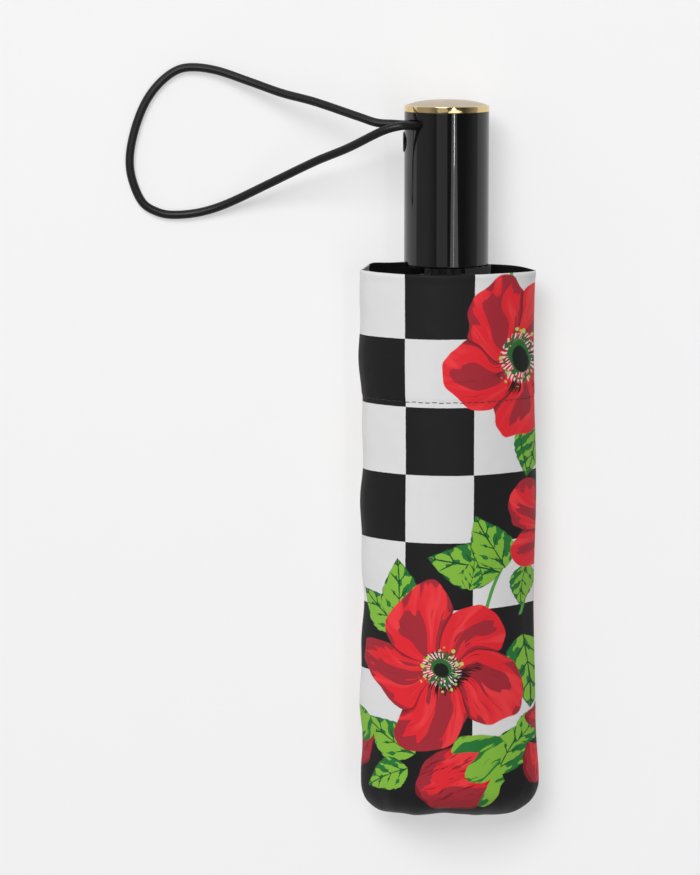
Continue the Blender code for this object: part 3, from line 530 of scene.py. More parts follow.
def flower_group():
    """A bloom of five broad petals in flat tones, seen from the front."""
    tree, given, result = new_group("bloom", MOTIF_INPUTS, MOTIF_OUTPUTS)
    seed = Number(tree, given["Seed"])
    flat = given["Local"]
    x, y = flat_axes(tree, wandered(tree, flat, seed, 1.5, 0.42))
    radius = (x * x + y * y).power(0.5)
    sector = 2 * math.pi / PETALS
    swirl = (radius - 0.4) * 0.55
    angle = y.math("ARCTAN2", x) + swirl
    petal = (angle / sector).round()
    fold = angle - petal * sector
    chance = scatter(petal.math("FLOORED_MODULO", float(PETALS)) * 12.99 + seed * 7.3)
    ripple = (fold * 9.0 + chance * 6.0).sin() * 0.014 + (fold * 23.0 + seed).sin() * 0.005
    edge = (fold * fold * -0.70 + 1.0) * (chance * 0.13 + 0.87) + ripple
    cover = ((edge - radius) * 90).clamp()
    share = radius / edge
    ray = combine(tree, fold * 4.2, radius * 1.3, seed + petal)
    broad = noise_of(tree, ray, 1.3, 1.5, 0.5) - 0.5
    fine_ray = combine(tree, fold * 24.0, radius * 1.5, seed + petal)
    fine = noise_of(tree, fine_ray, 1.3, 2.0, 0.6)
    # A long darker patch down each petal, another along its lower side, a pale field beside them
    across = (fold + broad * 0.45 - (chance - 0.5) * 0.36) / (chance * 0.10 + 0.15)
    down = (share - 0.50 - broad * 0.6) / 0.37
    patch = across * across + down * down
    tucked = fold + share * 0.18 + broad * 0.9
    far_side = (share + broad * 0.9) * chance.above(0.5, 0.05)
    shaded = patch.below(1.0, 0.06).most(tucked.below(-0.42, 0.02))
    shaded = shaded.most(far_side.above(0.93, 0.02))
    glow = broad.below(-0.06, 0.16) * share.above(0.35, 0.4)
    tone = mix(tree, glow * 0.8, RED, RED_LIGHT)
    tone = mix(tree, shaded, tone, RED_SHADE)
    tone = mix(tree, (fine.above(0.67, 0.03) * share.below(0.80, 0.3)) * 0.6, tone, RED_DEEP)
    under = fold.below(-0.585, 0.05) * share.above(0.25, 0.1)
    tone = mix(tree, under * 0.75, tone, RED_DEEP)
    bunch = noise_of(tree, combine(tree, x * 3.0, y * 3.0, seed), 1.0, 1.0)
    spikes = fine * (bunch.above(0.52, 0.25) * 0.50 + 0.22) - radius
    tone = mix(tree, spikes.above(0.0, 0.035), tone, INK_STROKE)
    stripe = (angle * 31.0 + (fine - 0.5) * 5.0).sin().above(0.15, 0.5)
    reach = radius + (fine - 0.5) * 0.10
    fringe = reach.below(0.225, 0.02) * reach.above(0.115, 0.02)
    broken = noise_of(tree, combine(tree, x * 22.0, y * 22.0, seed), 1.0, 1.0)
    tone = mix(tree, fringe * broken.below(0.44, 0.03), tone, HEART_GREEN)
    tone = mix(tree, stripe * fringe * broken.above(0.46, 0.04), tone, STAMEN)
    seeds = tree.nodes.new("ShaderNodeTexVoronoi")
    feed_named(tree, seeds, {"Scale": 15.0, "Vector": flat})
    speck = Number(tree, seeds.outputs["Distance"]).below(0.36, 0.10)
    pick = scatter(along_direction(tree, seeds.outputs["Position"], (127.1, 311.7, 0)))
    rim = radius.below(0.285, 0.02) * radius.above(0.175, 0.02) * speck
    tone = mix(tree, rim * pick.above(0.45, 0.02), tone, POLLEN)
    tone = mix(tree, radius.below(0.125, 0.01), tone, HEART_GREEN)
    eye = ((x + 0.02) * (x + 0.02) + (y - 0.02) * (y - 0.02)).power(0.5) + (fine - 0.5) * 0.05
    tone = mix(tree, eye.below(0.095, 0.01), tone, HEART_DARK)
    feed(tree, cover, result["Cover"])
    feed(tree, tone, result["Colour"])
    return tree


def bud_group():
    """A half-open bloom from the side: petals in a cup that opens along +X, and green sepals."""
    tree, given, result = new_group("bud", MOTIF_INPUTS, MOTIF_OUTPUTS)
    seed = Number(tree, given["Seed"])
    x, y = flat_axes(tree, wandered(tree, given["Local"], seed, 1.8, 0.32))
    cup = (x * 0.88 + 0.10) * (x * 0.88 + 0.10) + y * y * 1.35
    lip = (y * 8.0 + seed).sin() * 0.07
    petals = (lip * x.above(0.2, 0.4) - cup + 0.62) * 40
    ray = combine(tree, y * 2.2, x * 0.7, seed)
    broad = noise_of(tree, ray, 2.0, 1.5, 0.5)
    fine = noise_of(tree, combine(tree, y * 12.0, x * 1.1, seed), 1.6, 2.0, 0.6)
    outer = (y * 0.95 + x * 0.30 + broad * 0.5 - 0.42).above(0.0, 0.015)
    inner = (y * -0.8 + x * 0.50 + broad * 0.5 - 0.62).above(0.0, 0.015)
    tone = mix(tree, broad.above(0.55, 0.1) * 0.7, RED, RED_LIGHT)
    tone = mix(tree, outer.most(inner), tone, RED_SHADE)
    tone = mix(tree, fine.above(0.60, 0.03) * 0.75, tone, RED_DEEP)
    tone = mix(tree, (cup + broad * 0.3 - 0.72).above(0.0, 0.02) * 0.8, tone, RED_DEEP)
    sepal_end = abs((y * 5.2 + seed).sin()) * 0.42
    sepal = (x + 0.62 - sepal_end) * -40
    sepal = sepal.clamp() * ((cup * -1.0 + 0.80) * 40).clamp()
    green = mix(tree, (fine * 0.4 + broad).above(0.72, 0.03), LEAF_LIGHT, LEAF_DARK)
    tone = mix(tree, sepal, tone, green)
    feed(tree, petals.clamp().most(sepal), result["Cover"])
    feed(tree, tone, result["Colour"])
    return tree


def lay_flowers(tree, place, group, placements, colour):
    """One kind of motif, drawn once in the local coordinates of the placement a point lies in."""
    chosen = NOWHERE
    for across, along, turn, size, seed in placements:
        x, y = motif_axes(tree, place, across, along, turn, size)
        near = (x * x + y * y).below(MOTIF_REACH * MOTIF_REACH, 1e-6)
        chosen = mix_vector(tree, near, chosen, combine(tree, x, y, seed))
    x, y = flat_axes(tree, chosen)
    seed = along_direction(tree, chosen, (0, 0, 1))
    outputs = run_group(tree, group, {"Local": combine(tree, x, y, 0.0), "Seed": seed})
    return mix(tree, Number(tree, outputs["Cover"]), colour, outputs["Colour"])


def lay_leaves(tree, place, placements, colour):
    """Pointed, toothed leaves that grow along +X, the topmost one drawn at each point."""
    chosen = (0.0, 0.0, 0.0)
    covered = None
    for across, along, turn, size, seed in placements:
        x, y = motif_axes(tree, place, across, along, turn, size)
        side = y + (x * 2.6 + seed).sin() * 0.07 - 0.07 * math.sin(seed)
        body = (x.clamp().power(0.72) * math.pi).sin()
        teeth = abs((x * 26.0).sin()) * 0.05 + 0.96
        room = body * teeth * 0.33 - abs(side)
        on = room.above(0.0, 0.001)
        chosen = mix_vector(tree, on, chosen, combine(tree, x, side, room + 0.0))
        cover = (room * 70).clamp()
        covered = cover if covered is None else covered.most(cover)
    x, side = flat_axes(tree, chosen)
    room = along_direction(tree, chosen, (0, 0, 1))
    vein_place = (x - abs(side) * 1.1) * 4.0
    rough = noise_of(tree, combine(tree, x * 2.4, side * 4.4, 0.0), 1.7, 1.5) - 0.5
    wedge = abs(vein_place.fract() - 0.5) * 2.0
    light = wedge * 0.46 + side.above(0.0, 0.30) * 0.40 + rough * 1.7 + room * 0.8 + 0.14
    tone = mix(tree, light.above(0.60, 0.04), LEAF_DARK, LEAF_LIGHT)
    crease = (abs(side) + rough * 0.02).below(0.010, 0.008)
    deep = crease.most((room * -1.0 - rough * 0.10).above(-0.016, 0.008))
    deep = deep.most(wedge.below(0.10, 0.04) * abs(side).below(0.13, 0.05))
    tone = mix(tree, deep, tone, LEAF_DEEP)
    return mix(tree, covered, colour, tone)


def lay_stems(tree, place, placements, colour):
    """Thin bowed stems."""
    covered = None
    for across, along, turn, size, bow in placements:
        x, y = motif_axes(tree, place, across, along, turn, size)
        away = abs(y - x * (x * -1.0 + 1.0) * bow) * (size / 1000)
        inside = (x - 0.5) * (x - 0.5)
        cover = ((away * -1.0 + STEM_RADIUS) * 5000).clamp() * inside.below(0.25, 0.01)
        covered = cover if covered is None else covered.most(cover)
    tone = mix(tree, covered.above(0.75, 0.5), LEAF_DARK, STEM_GREEN)
    return mix(tree, covered, colour, tone)


# Checks: width, height, the corner they are counted from, and how many rows lie over the border
CHECK = 0.0269
CHECK_ROW = 0.0263
CHECK_ACROSS = 0.0106
CHECK_ALONG = 0.0494
ROWS_TO_BORDER = 6
INK_BLEED = 0.00022
STEM_RADIUS = 0.0008
WHITE_INK = (0.755, 0.75, 0.75)
BLACK_INK = (0.0135, 0.0125, 0.0135)

# Motifs on the cloth: across from the front's middle and along the shaft in millimetres, then turn
# in degrees, size in millimetres, and seed (a stem's bow). Later ones lie over earlier ones.
STEMS = [
    (14, -72, 62, 62, 0.5),
    (30, -60, 95, 48, -0.5),
    (-20, -120, 70, 50, 0.4),
    (22, -118, 40, 50, -0.6),
    (27.5, 56, 97, 19, 0.3),
    (-58, -20, 80, 60, 0.4),
    (-78, -110, 85, 70, -0.4),
    (-100, 0, 100, 60, 0.5),
    (-66, 25, 60, 30, 0.5),
]
LEAVES = [
    (21.5, -42, 160, 30, 1.3),
    (23.5, -40.5, 112, 25, 2.1),
    (29, -40, 68, 17, 4.7),
    (32.5, -40, 262, 17, 0.4),
    (-17, -64, 138, 23, 2.9),
    (-18.5, -62, 100, 26, 5.2),
    (9, -48, 75, 13, 1.1),
    (-12, -113, 148, 25, 3.3),
    (-15, -119, 205, 20, 0.8),
    (31.5, -68, 268, 30, 2.6),
    (20, -122, 62, 24, 4.1),
    (28, -110, 40, 17, 1.7),
    (34, 17, 266, 23, 3.8),
    (37.5, 15, 246, 20, 2.2),
    (-56, -40, 150, 28, 1.3),
    (-60, -36, 60, 26, 3.1),
    (-75, -100, 20, 28, 0.6),
    (-80, -98, 170, 26, 4.4),
    (-94, -10, 40, 28, 2.7),
    (-100, -6, 160, 26, 5.0),
    (-70, 52, 120, 26, 1.9),
    (-64, 50, 30, 24, 3.6),
    (-110, -125, 60, 26, 0.9),
]
BUDS = [
    (3.6, -123, 206, 20.5, 1.4),
    (-41, -113, 250, 15, 3.2),
    (39.5, -118, 250, 15, 5.0),
    (39.5, -101.5, 190, 10, 2.3),
    (-104, 55, 80, 18, 2.0),
    (-54, 10, 110, 16, 4.0),
]
BLOOMS = [
    (44.5, -24, 20, 23.5, 2.6),
    (31.8, 42, 136, 34.8, 4.3),
    (-1.5, -78.8, 127, 35.2, 1.7),
    (-72, -70, 40, 32, 3.4),
    (-86, 30, 70, 32, 6.1),
    (-113, -50, 10, 30, 5.3),
]


def print_group():
    """The whole print: checks under stems, leaves, buds and blooms."""
    tree, given, result = new_group("floral_check", [("Place", VECTOR)], [("Colour", COLOUR)])
    place = given["Place"]
    jitter = noise_of(tree, place, 900.0, 2.0, colour=True)
    jitter = vector_math(tree, "SUBTRACT", jitter, (0.5, 0.5, 0.5))
    bleed = vector_math(tree, "MULTIPLY", jitter, (INK_BLEED, INK_BLEED, INK_BLEED))
    inked = vector_math(tree, "ADD", place, bleed)
    x, y = flat_axes(tree, inked)
    column = ((x - CHECK_ACROSS) / CHECK).floor()
    row = ((y - CHECK_ALONG) / CHECK_ROW).floor()
    odd = abs((column + row) * 0.5).fract() * 2.0
    colour = mix(tree, odd.above(0.5, 0.1), WHITE_INK, BLACK_INK)
    # A plain black border closes the checks at the bottom.
    border = y.below(CHECK_ALONG - ROWS_TO_BORDER * CHECK_ROW, 0.00005)
    colour = mix(tree, border, colour, BLACK_INK)
    colour = lay_stems(tree, inked, STEMS, colour)
    colour = lay_leaves(tree, inked, LEAVES, colour)
    colour = lay_flowers(tree, inked, bud_group(), BUDS, colour)
    colour = lay_flowers(tree, inked, flower_group(), BLOOMS, colour)
    tree.links.new(colour, result["Colour"])
    return tree


# ---------------------------------------------------------------- materials

WEAVE_PITCH = 0.00034
# The cord's braid: radians in a metre of its length, and once round it
BRAID_ALONG = 2900.0
BRAID_ROUND = 50.27


def weave_height(tree, place):
    """Plain weave: threads that rise in turn across and along."""
    x, y = flat_axes(tree, place)
    across = (x * (2 * math.pi / WEAVE_PITCH)).sin()
    along = (y * (2 * math.pi / WEAVE_PITCH)).sin()
    return across * along * 0.5 + 0.5


def printed_cloth(name, group, unshaded_share=1.0):
    material, tree, shader = new_material(name)
    place = uv_place(tree)
    printed = run_group(tree, group, {"Place": place})["Colour"]
    cloud = noise_of(tree, place, 60.0, 3.0)
    thread = weave_height(tree, place)
    # The weave and a faint cloud vary the ink. The last term is painted shade: it darkens the whole
    # print evenly, and only the sleeve's lining uses it.
    dye_and_painted_shade = thread * 0.10 + cloud * 0.05 + (1.0 - unshaded_share)
    tone = mix(tree, dye_and_painted_shade, printed, (0.0, 0.0, 0.0))
    looks = {"Base Color": tone, "Roughness": cloud * 0.12 + 0.46, "Specular IOR Level": 0.12}
    looks |= {"Sheen Weight": 0.02, "Sheen Roughness": 0.4}
    feed_named(tree, shader, looks)
    crinkle = noise_of(tree, object_place(tree), 260.0, 3.0)
    normal = bump(tree, crinkle, 0.0006, 0.12, shader)
    bump(tree, thread, 0.00006, 0.5, shader, under=normal)
    return material


def plain_cloth(name, colour, roughness=0.8):
    material, tree, shader = new_material(name)
    place = uv_place(tree)
    cloud = noise_of(tree, object_place(tree), 180.0, 3.0)
    lighter = tuple(min(1.0, part * 1.5 + 0.01) for part in colour)
    tone = mix(tree, cloud, colour, lighter)
    rough = cloud * 0.1 + (roughness - 0.05)
    feed_named(tree, shader, {"Base Color": tone, "Roughness": rough, "Sheen Weight": 0.15})
    bump(tree, weave_height(tree, place), 0.00008, 0.5, shader)
    return material


def cord_material():
    """Braided elastic: two crossing sets of fine ribs."""
    material, tree, shader = new_material("braided_cord")
    x, y = flat_axes(tree, uv_place(tree))
    first = (x * BRAID_ALONG + y * BRAID_ROUND).sin()
    second = (x * BRAID_ALONG - y * BRAID_ROUND).sin()
    height = first * second * 0.5 + 0.5
    cloud = noise_of(tree, object_place(tree), 300.0, 2.0)
    dark = mix(tree, height * 0.6 + cloud * 0.3, (0.004, 0.004, 0.0045), (0.012, 0.012, 0.013))
    looks = {"Base Color": dark, "Roughness": cloud * 0.15 + 0.34, "Specular IOR Level": 0.28}
    feed_named(tree, shader, looks)
    bump(tree, height, 0.00012, 0.55, shader)
    return material


def gloss_black():
    material, tree, shader = new_material("gloss_black")
    place = object_place(tree)
    cloud = noise_of(tree, place, 90.0, 3.0)
    dark = mix(tree, cloud, (0.0035, 0.0035, 0.004), (0.006, 0.006, 0.0065))
    scuff = noise_of(tree, place, 2600.0, 2.0)
    rough = scuff.above(0.70, 0.1) * 0.05 + cloud * 0.03 + 0.035
    feed_named(tree, shader, {"Base Color": dark, "Roughness": rough, "IOR": 1.49})
    bump(tree, noise_of(tree, place, 45.0, 1.0), 0.00006, 0.25, shader)
    return material


def metal(name, colour, roughness, grain=0.0, grain_axis=1):
    """Plated metal; the grain runs along one axis."""
    material, tree, shader = new_material(name)
    place = object_place(tree)
    parts = split(tree, place)
    scales = [2600.0, 2600.0, 2600.0]
    scales[grain_axis] = 25.0
    drawn = combine(tree, *(part * scale for part, scale in zip(parts, scales)))
    line = noise_of(tree, drawn, 1.0, 2.0)
    cloud = noise_of(tree, place, 70.0, 3.0)
    darker = tuple(part * 0.82 for part in colour)
    tone = mix(tree, cloud * 0.5 + line * 0.3, colour, darker)
    rough = line * grain + cloud * 0.06 + roughness
    feed_named(tree, shader, {"Base Color": tone, "Roughness": rough, "Metallic": 1.0})
    bump(tree, line, 0.00003, 0.25 + grain, shader)
    return material


def plastic(name, colour, roughness):
    material, tree, shader = new_material(name)
    place = object_place(tree)
    speckle = noise_of(tree, place, 1800.0, 2.0)
    cloud = noise_of(tree, place, 60.0, 2.0)
    lighter = tuple(min(1.0, part * 1.25 + 0.004) for part in colour)
    tone = mix(tree, cloud, colour, lighter)
    feed_named(tree, shader, {"Base Color": tone, "Roughness": speckle * 0.12 + roughness - 0.06})
    bump(tree, speckle, 0.00005, 0.3, shader)
    return material


# ---------------------------------------------------------------- stage


def make_camera():
    data = bpy.data.cameras.new("camera")
    data.lens = LENS
    data.sensor_width = 36
    data.clip_start = 0.05
    camera = add_object("camera", data)
    camera.location = LOOK_AT + CAMERA_DISTANCE * Vector((0, math.sin(TILT), math.cos(TILT)))
    camera.rotation_euler = (-TILT, 0, 0)
    bpy.context.scene.camera = camera


def area_light(name, location, target, size, size_y, power):
    data = bpy.data.lights.new(name, "AREA")
    data.shape = "RECTANGLE"
    data.size = size
    data.size_y = size_y
    data.energy = power
    light = add_object(name, data)
    light.location = location
    direction = Vector(target) - Vector(location)
    light.rotation_euler = direction.to_track_quat("-Z", "Y").to_euler()


def make_stage():
    scene = bpy.context.scene
    scene.view_settings.view_transform = "Standard"
    world = bpy.data.worlds.new("studio")
    world.use_nodes = True
    scene.world = world
    tree = world.node_tree
    background = tree.nodes["Background"]
    # A pale room that darkens towards the ceiling, so that gloss pieces read dark from above.
    sky = tree.nodes.new("ShaderNodeTexCoord").outputs["Generated"]
    overhead = along_direction(tree, sky, (0.28, 0, 1)).above(0.62, 0.5)
    shade = mix(tree, overhead, (0.965, 0.965, 0.98), (0.14, 0.14, 0.145))
    feed_named(tree, background, {"Color": shade, "Strength": 0.40})
    material, tree, shader = new_material("paper_floor")
    fibre = noise_of(tree, object_place(tree), 40.0, 4.0)
    paper = mix(tree, fibre, (0.445, 0.445, 0.445), (0.455, 0.455, 0.455))
    looks = {"Base Color": paper, "Roughness": 0.9, "Specular IOR Level": 0.1}
    looks |= {"Emission Color": (1.0, 1.0, 1.0), "Emission Strength": 0.45}
    feed_named(tree, shader, looks)
    half = 6.0
    corners = [(-half, -half, 0), (half, -half, 0), (half, half, 0), (-half, half, 0)]
    floor = mesh_object("floor", corners, [(0, 1, 2, 3)], material, smooth=False)
    area_light("soft_key", (-0.75, 1.60, 2.60), (0, 0, 0), 1.45, 1.45, 78)
    area_light("soft_fill", (0.72, -0.50, 2.0), (0, 0, 0), 1.1, 1.1, 6)
    area_light("panel_left", (-0.45, -0.10, 1.9), (-0.05, 0.02, 0), 0.7, 0.95, 1.1)
    area_light("strip_upper", (0.37, 0.20, 1.2), (0, 0.12, 0.03), 0.34, 0.012, 0.75)
    area_light("strip_lower", (0.37, -0.06, 1.2), (0, 0.08, 0.03), 0.18, 0.012, 0.08)


# ---------------------------------------------------------------- sleeve


def lens_ring(half_width, half_height, count):
    """Points round a pressed section from the right crease over the front, and their arc length."""
    fine = 4000
    angle = np.linspace(0, 2 * math.pi, fine + 1)
    x = half_width * np.cos(angle)
    z = half_height * np.sign(np.sin(angle)) * np.abs(np.sin(angle)) ** LENS_POWER
    z = np.maximum(z, -AXIS + 0.00005)
    length = np.concatenate([[0], np.cumsum(np.hypot(np.diff(x), np.diff(z)))])
    # A point lies on each crease, so that both stay crisp.
    crease = np.interp(math.pi, angle, length)
    nearest = round(crease / length[-1] * count)
    front = np.linspace(0, crease, nearest, endpoint=False)
    back = np.linspace(crease, length[-1], count - nearest, endpoint=False)
    wanted = np.concatenate([front, back])
    return np.interp(wanted, length, x), np.interp(wanted, length, z), wanted, crease


def sleeve_rows():
    """Place along the shaft, inset of the sides and share of the height for each row of cloth."""
    straight_end = BOTTOM + CORNER
    rows = []
    for step in range(CLOTH_STRAIGHT_ROWS + 1):
        rows.append((MOUTH + (straight_end - MOUTH) * step / CLOTH_STRAIGHT_ROWS, 0.0, 1.0))
    for step in range(1, CLOTH_CORNER_ROWS + 1):
        angle = math.pi / 2 * step / CLOTH_CORNER_ROWS
        share = 0.035 + 0.965 * max(0.0, math.cos(angle)) ** 0.85
        inset = CORNER * (1 - math.cos(angle))
        rows.append((straight_end - CORNER * math.sin(angle), inset, share))
    return rows


def grid_faces(rows, columns):
    faces = []
    for row in range(rows - 1):
        for column in range(columns):
            after = (column + 1) % columns
            low = row * columns
            high = low + columns
            faces.append((low + column, low + after, high + after, high + column))
    return faces


def tube_faces(rings, sides):
    """The wall of a closed tube, then its two ends."""
    faces = grid_faces(rings, sides)
    faces.append(tuple(range(sides))[::-1])
    last = (rings - 1) * sides
    faces.append(tuple(range(last, last + sides)))
    return faces


def circle(centre, first, second, radius, sides):
    """Points round a centre, from the first direction to the second."""
    turns = [2 * math.pi * side / sides for side in range(sides)]
    return [centre + radius * (first * math.cos(turn) + second * math.sin(turn)) for turn in turns]


def lay_uv(obj, across, along, seam_length):
    """Cloth coordinates on every corner; a face that closes the ring runs on past the seam."""
    layer = obj.data.uv_layers.new(name="cloth")
    columns = len(across)
    values = np.empty((len(obj.data.loops), 2))
    position = 0
    for face in obj.data.polygons:
        indices = [obj.data.loops[k].vertex_index for k in face.loop_indices]
        places = [index % columns for index in indices]
        wraps = max(places) - min(places) > 1
        for index, column in zip(indices, places):
            u = across[column]
            if wraps and column == 0:
                u -= seam_length
            values[position] = (u, along.reshape(-1)[index])
            position += 1
    layer.data.foreach_set("uv", values.reshape(-1))


def cloth_relief(points, across, along, ring_x):
    """How far the cloth stands out: long folds, a pucker at the hem and gathers at the corners."""
    down = MOUTH - along
    up = along - BOTTOM
    long_folds = noise_grid(points * np.array([1.0, 0.22, 1.0]), 75.0, 3.1) * 0.00055
    broad = noise_grid(points * np.array([1.0, 0.6, 1.0]), 32.0, 9.4) * 0.0007
    small = noise_grid(points, 210.0, 5.5) * 0.00010
    hem = smoothstep(-0.0006, 0.0006, HEM_DEPTH - down) * 0.00022
    groove = -0.00022 * bell(down - HEM_DEPTH, 0.0007)
    pucker_phase = across * 2 * math.pi / (2.6 * STITCH_PITCH)
    pucker = 0.00007 * np.sin(pucker_phase) * bell(down - HEM_DEPTH, 0.0035)
    lip = 0.00025 * bell(down - 0.0012, 0.0012)
    gather = 0.0005 * noise_grid(points * np.array([1.0, 0.35, 0.5]), 150.0, 2.7) * bell(up, 0.012)
    side = np.abs(ring_x) / SLEEVE_HALF
    flat_sides = 1.0 - 0.75 * smoothstep(0.90, 1.0, side)
    return (long_folds + broad + small + pucker + gather) * flat_sides + hem + groove + lip


def edge_wave(along, side):
    """Sideways drift of the pressed edges; the left one waves more than the right."""
    left = 0.0007 + 0.00055 * np.sin(along * 96.0 + 0.6) + 0.00035 * np.sin(along * 231.0 + 1.9)
    down = MOUTH - along
    right = 0.00018 * np.sin(along * 70.0 + 2.0) + 0.0002 + 0.0023 * smoothstep(0.0, 0.10, down)
    right = right + 0.0014 * bell(along - BOTTOM - 0.015, 0.013)
    return np.where(side < 0, left, right)


def waist(along):
    """The cloth's half width: widest at the mouth and the corners, a little slimmer between."""
    middle = (MOUTH + BOTTOM) / 2
    reach = (MOUTH - BOTTOM) / 2
    return SLEEVE_HALF - 0.0011 * np.clip(1 - ((along - middle) / reach) ** 2, 0, 1) ** 0.8


def make_sleeve(cloth, lining):
    rows = sleeve_rows()
    flat_x, _, length, crease = lens_ring(SLEEVE_HALF, SLEEVE_RISE, CLOTH_AROUND)
    # Across runs from the front's middle; the back follows on past the left crease. The print
    # is drawn out a little towards the creases of the front.
    half = 0.7 * SLEEVE_HALF + 0.3 * crease / 2
    front = 0.7 * flat_x + 0.3 * (crease / 2 - length)
    across = np.where(length < crease, front, crease - half - length)
    print_turn = 2 * half + length[1] - length[0] + length[-1] - crease
    points = np.empty((len(rows), CLOTH_AROUND, 3))
    along = np.empty((len(rows), CLOTH_AROUND))
    for index, (place, inset, share) in enumerate(rows):
        half = float(waist(np.array(place))) - inset
        x, z, _, _ = lens_ring(half, SLEEVE_RISE * share, CLOTH_AROUND)
        points[index, :, 0] = x
        points[index, :, 1] = place
        points[index, :, 2] = AXIS + z
        along[index] = place
    ring_x = points[:, :, 0].copy()
    around = np.roll(points, -1, axis=1) - np.roll(points, 1, axis=1)
    down = np.gradient(points, axis=0)
    normal = np.cross(around, down)
    normal /= np.maximum(np.linalg.norm(normal, axis=2, keepdims=True), 1e-12)
    outward = points - np.array([0, 0, AXIS])
    outward[:, :, 1] = 0
    flip = np.sign((normal * outward).sum(axis=2, keepdims=True))
    normal *= np.where(flip == 0, 1, flip)
    relief = cloth_relief(points, across[None, :], along, ring_x)
    points += normal * relief[:, :, None]
    side = ring_x / SLEEVE_HALF
    points[:, :, 0] += edge_wave(along, side) * np.abs(side) ** 3
    # The back stands a little further out of the mouth, most on the left.
    back = 1 - smoothstep(-0.009, -0.001, points[:, :, 2] - AXIS)
    near_mouth = bell(MOUTH - along, 0.014)
    waver = noise_grid(points * np.array([1.0, 0.0, 0.3]), 110.0, 7.7)
    points[:, :, 1] += near_mouth * (back * (0.0012 - 0.0008 * side) + 0.00035 * waver)
    # The bottom seam dips a little at its middle.
    up = along - BOTTOM
    points[:, :, 1] += 0.0011 * bell(ring_x, 0.006) * bell(up, 0.006)
    points[:, :, 2] = np.maximum(points[:, :, 2], 0.00015)
    faces = grid_faces(len(rows), CLOTH_AROUND)
    sleeve = mesh_object("sleeve_cloth", points.reshape(-1, 3), faces, cloth)
    lay_uv(sleeve, across, along, print_turn)
    face_outward(sleeve)
    # The inner faces take the lining: the print seen through the cloth, darkened by painted shade.
    sleeve.data.materials.append(lining)
    wall = sleeve.modifiers.new("Cloth", "SOLIDIFY")
    wall.thickness = CLOTH_THICKNESS
    wall.offset = -1.0
    wall.material_offset = 1
    wall.material_offset_rim = 0
    apply_modifiers(sleeve)
    sleeve.data.shade_smooth()
    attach(sleeve, "sleeve")
    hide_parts("sleeve")
    return points


print_tree = print_group()
PRINTED = printed_cloth("printed_cloth", print_tree)
# The sleeve's inner side: the print seen through the cloth, darkened by painted shade where the
# inside of the mouth lies in shade.
LINING = printed_cloth("sleeve_lining", print_tree, unshaded_share=0.45)
CANOPY_CLOTH = printed_cloth("canopy_cloth", print_tree)
CORD = cord_material()
GLOSS = gloss_black()
GOLD = metal("polished_gold", (0.83, 0.62, 0.30), 0.10)
GOLD_FACE = metal("brushed_gold", (0.62, 0.54, 0.42), 0.36, 0.10)
CHROME = metal("tube_chrome", (0.70, 0.70, 0.72), 0.12, 0.10)
RIB_STEEL = metal("rib_steel", (0.60, 0.60, 0.62), 0.22, 0.15)
DARK_STEEL = metal("dark_steel", (0.10, 0.10, 0.105), 0.28, 0.12)
BLACK_PLASTIC = plastic("black_plastic", (0.014, 0.014, 0.015), 0.42)
WHITE_PLASTIC = plastic("white_plastic", (0.72, 0.72, 0.73), 0.40)
THREAD = plain_cloth("black_thread", (0.010, 0.010, 0.011), 0.7)

make_camera()


def make_loop():
    """The elastic wrist loop, a tube along its route whose section never twists."""
    route, length = smooth_route([Vector(point) / 1000 for point in LOOP_ROUTE], CORD_SPACING)
    sides = CORD_SIDES
    points = []
    tangents = directions(route)
    normal = tangents[0].orthogonal().normalized()
    for point, tangent in zip(route, tangents):
        normal = (normal - tangent * normal.dot(tangent)).normalized()
        points += circle(point, normal, tangent.cross(normal), CORD_DIAMETER / 2, sides)
    loop = mesh_object("wrist_loop_cord", points, tube_faces(len(route), sides), CORD)
    layer = loop.data.uv_layers.new(name="cord")
    step = length / (len(route) - 1)
    for face in loop.data.polygons:
        columns = [loop.data.loops[k].vertex_index % sides for k in face.loop_indices]
        wraps = max(columns) - min(columns) > sides / 2
        for k, column in zip(face.loop_indices, columns):
            row = loop.data.loops[k].vertex_index // sides
            turn = column + (sides if wraps and column == 0 else 0)
            layer.data[k].uv = (row * step, turn / sides)
    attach(loop, "handle")
    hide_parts("wrist_loop")


make_loop()
make_stage()
sleeve_points = make_sleeve(PRINTED, LINING)


# ---------------------------------------------------------------- handle


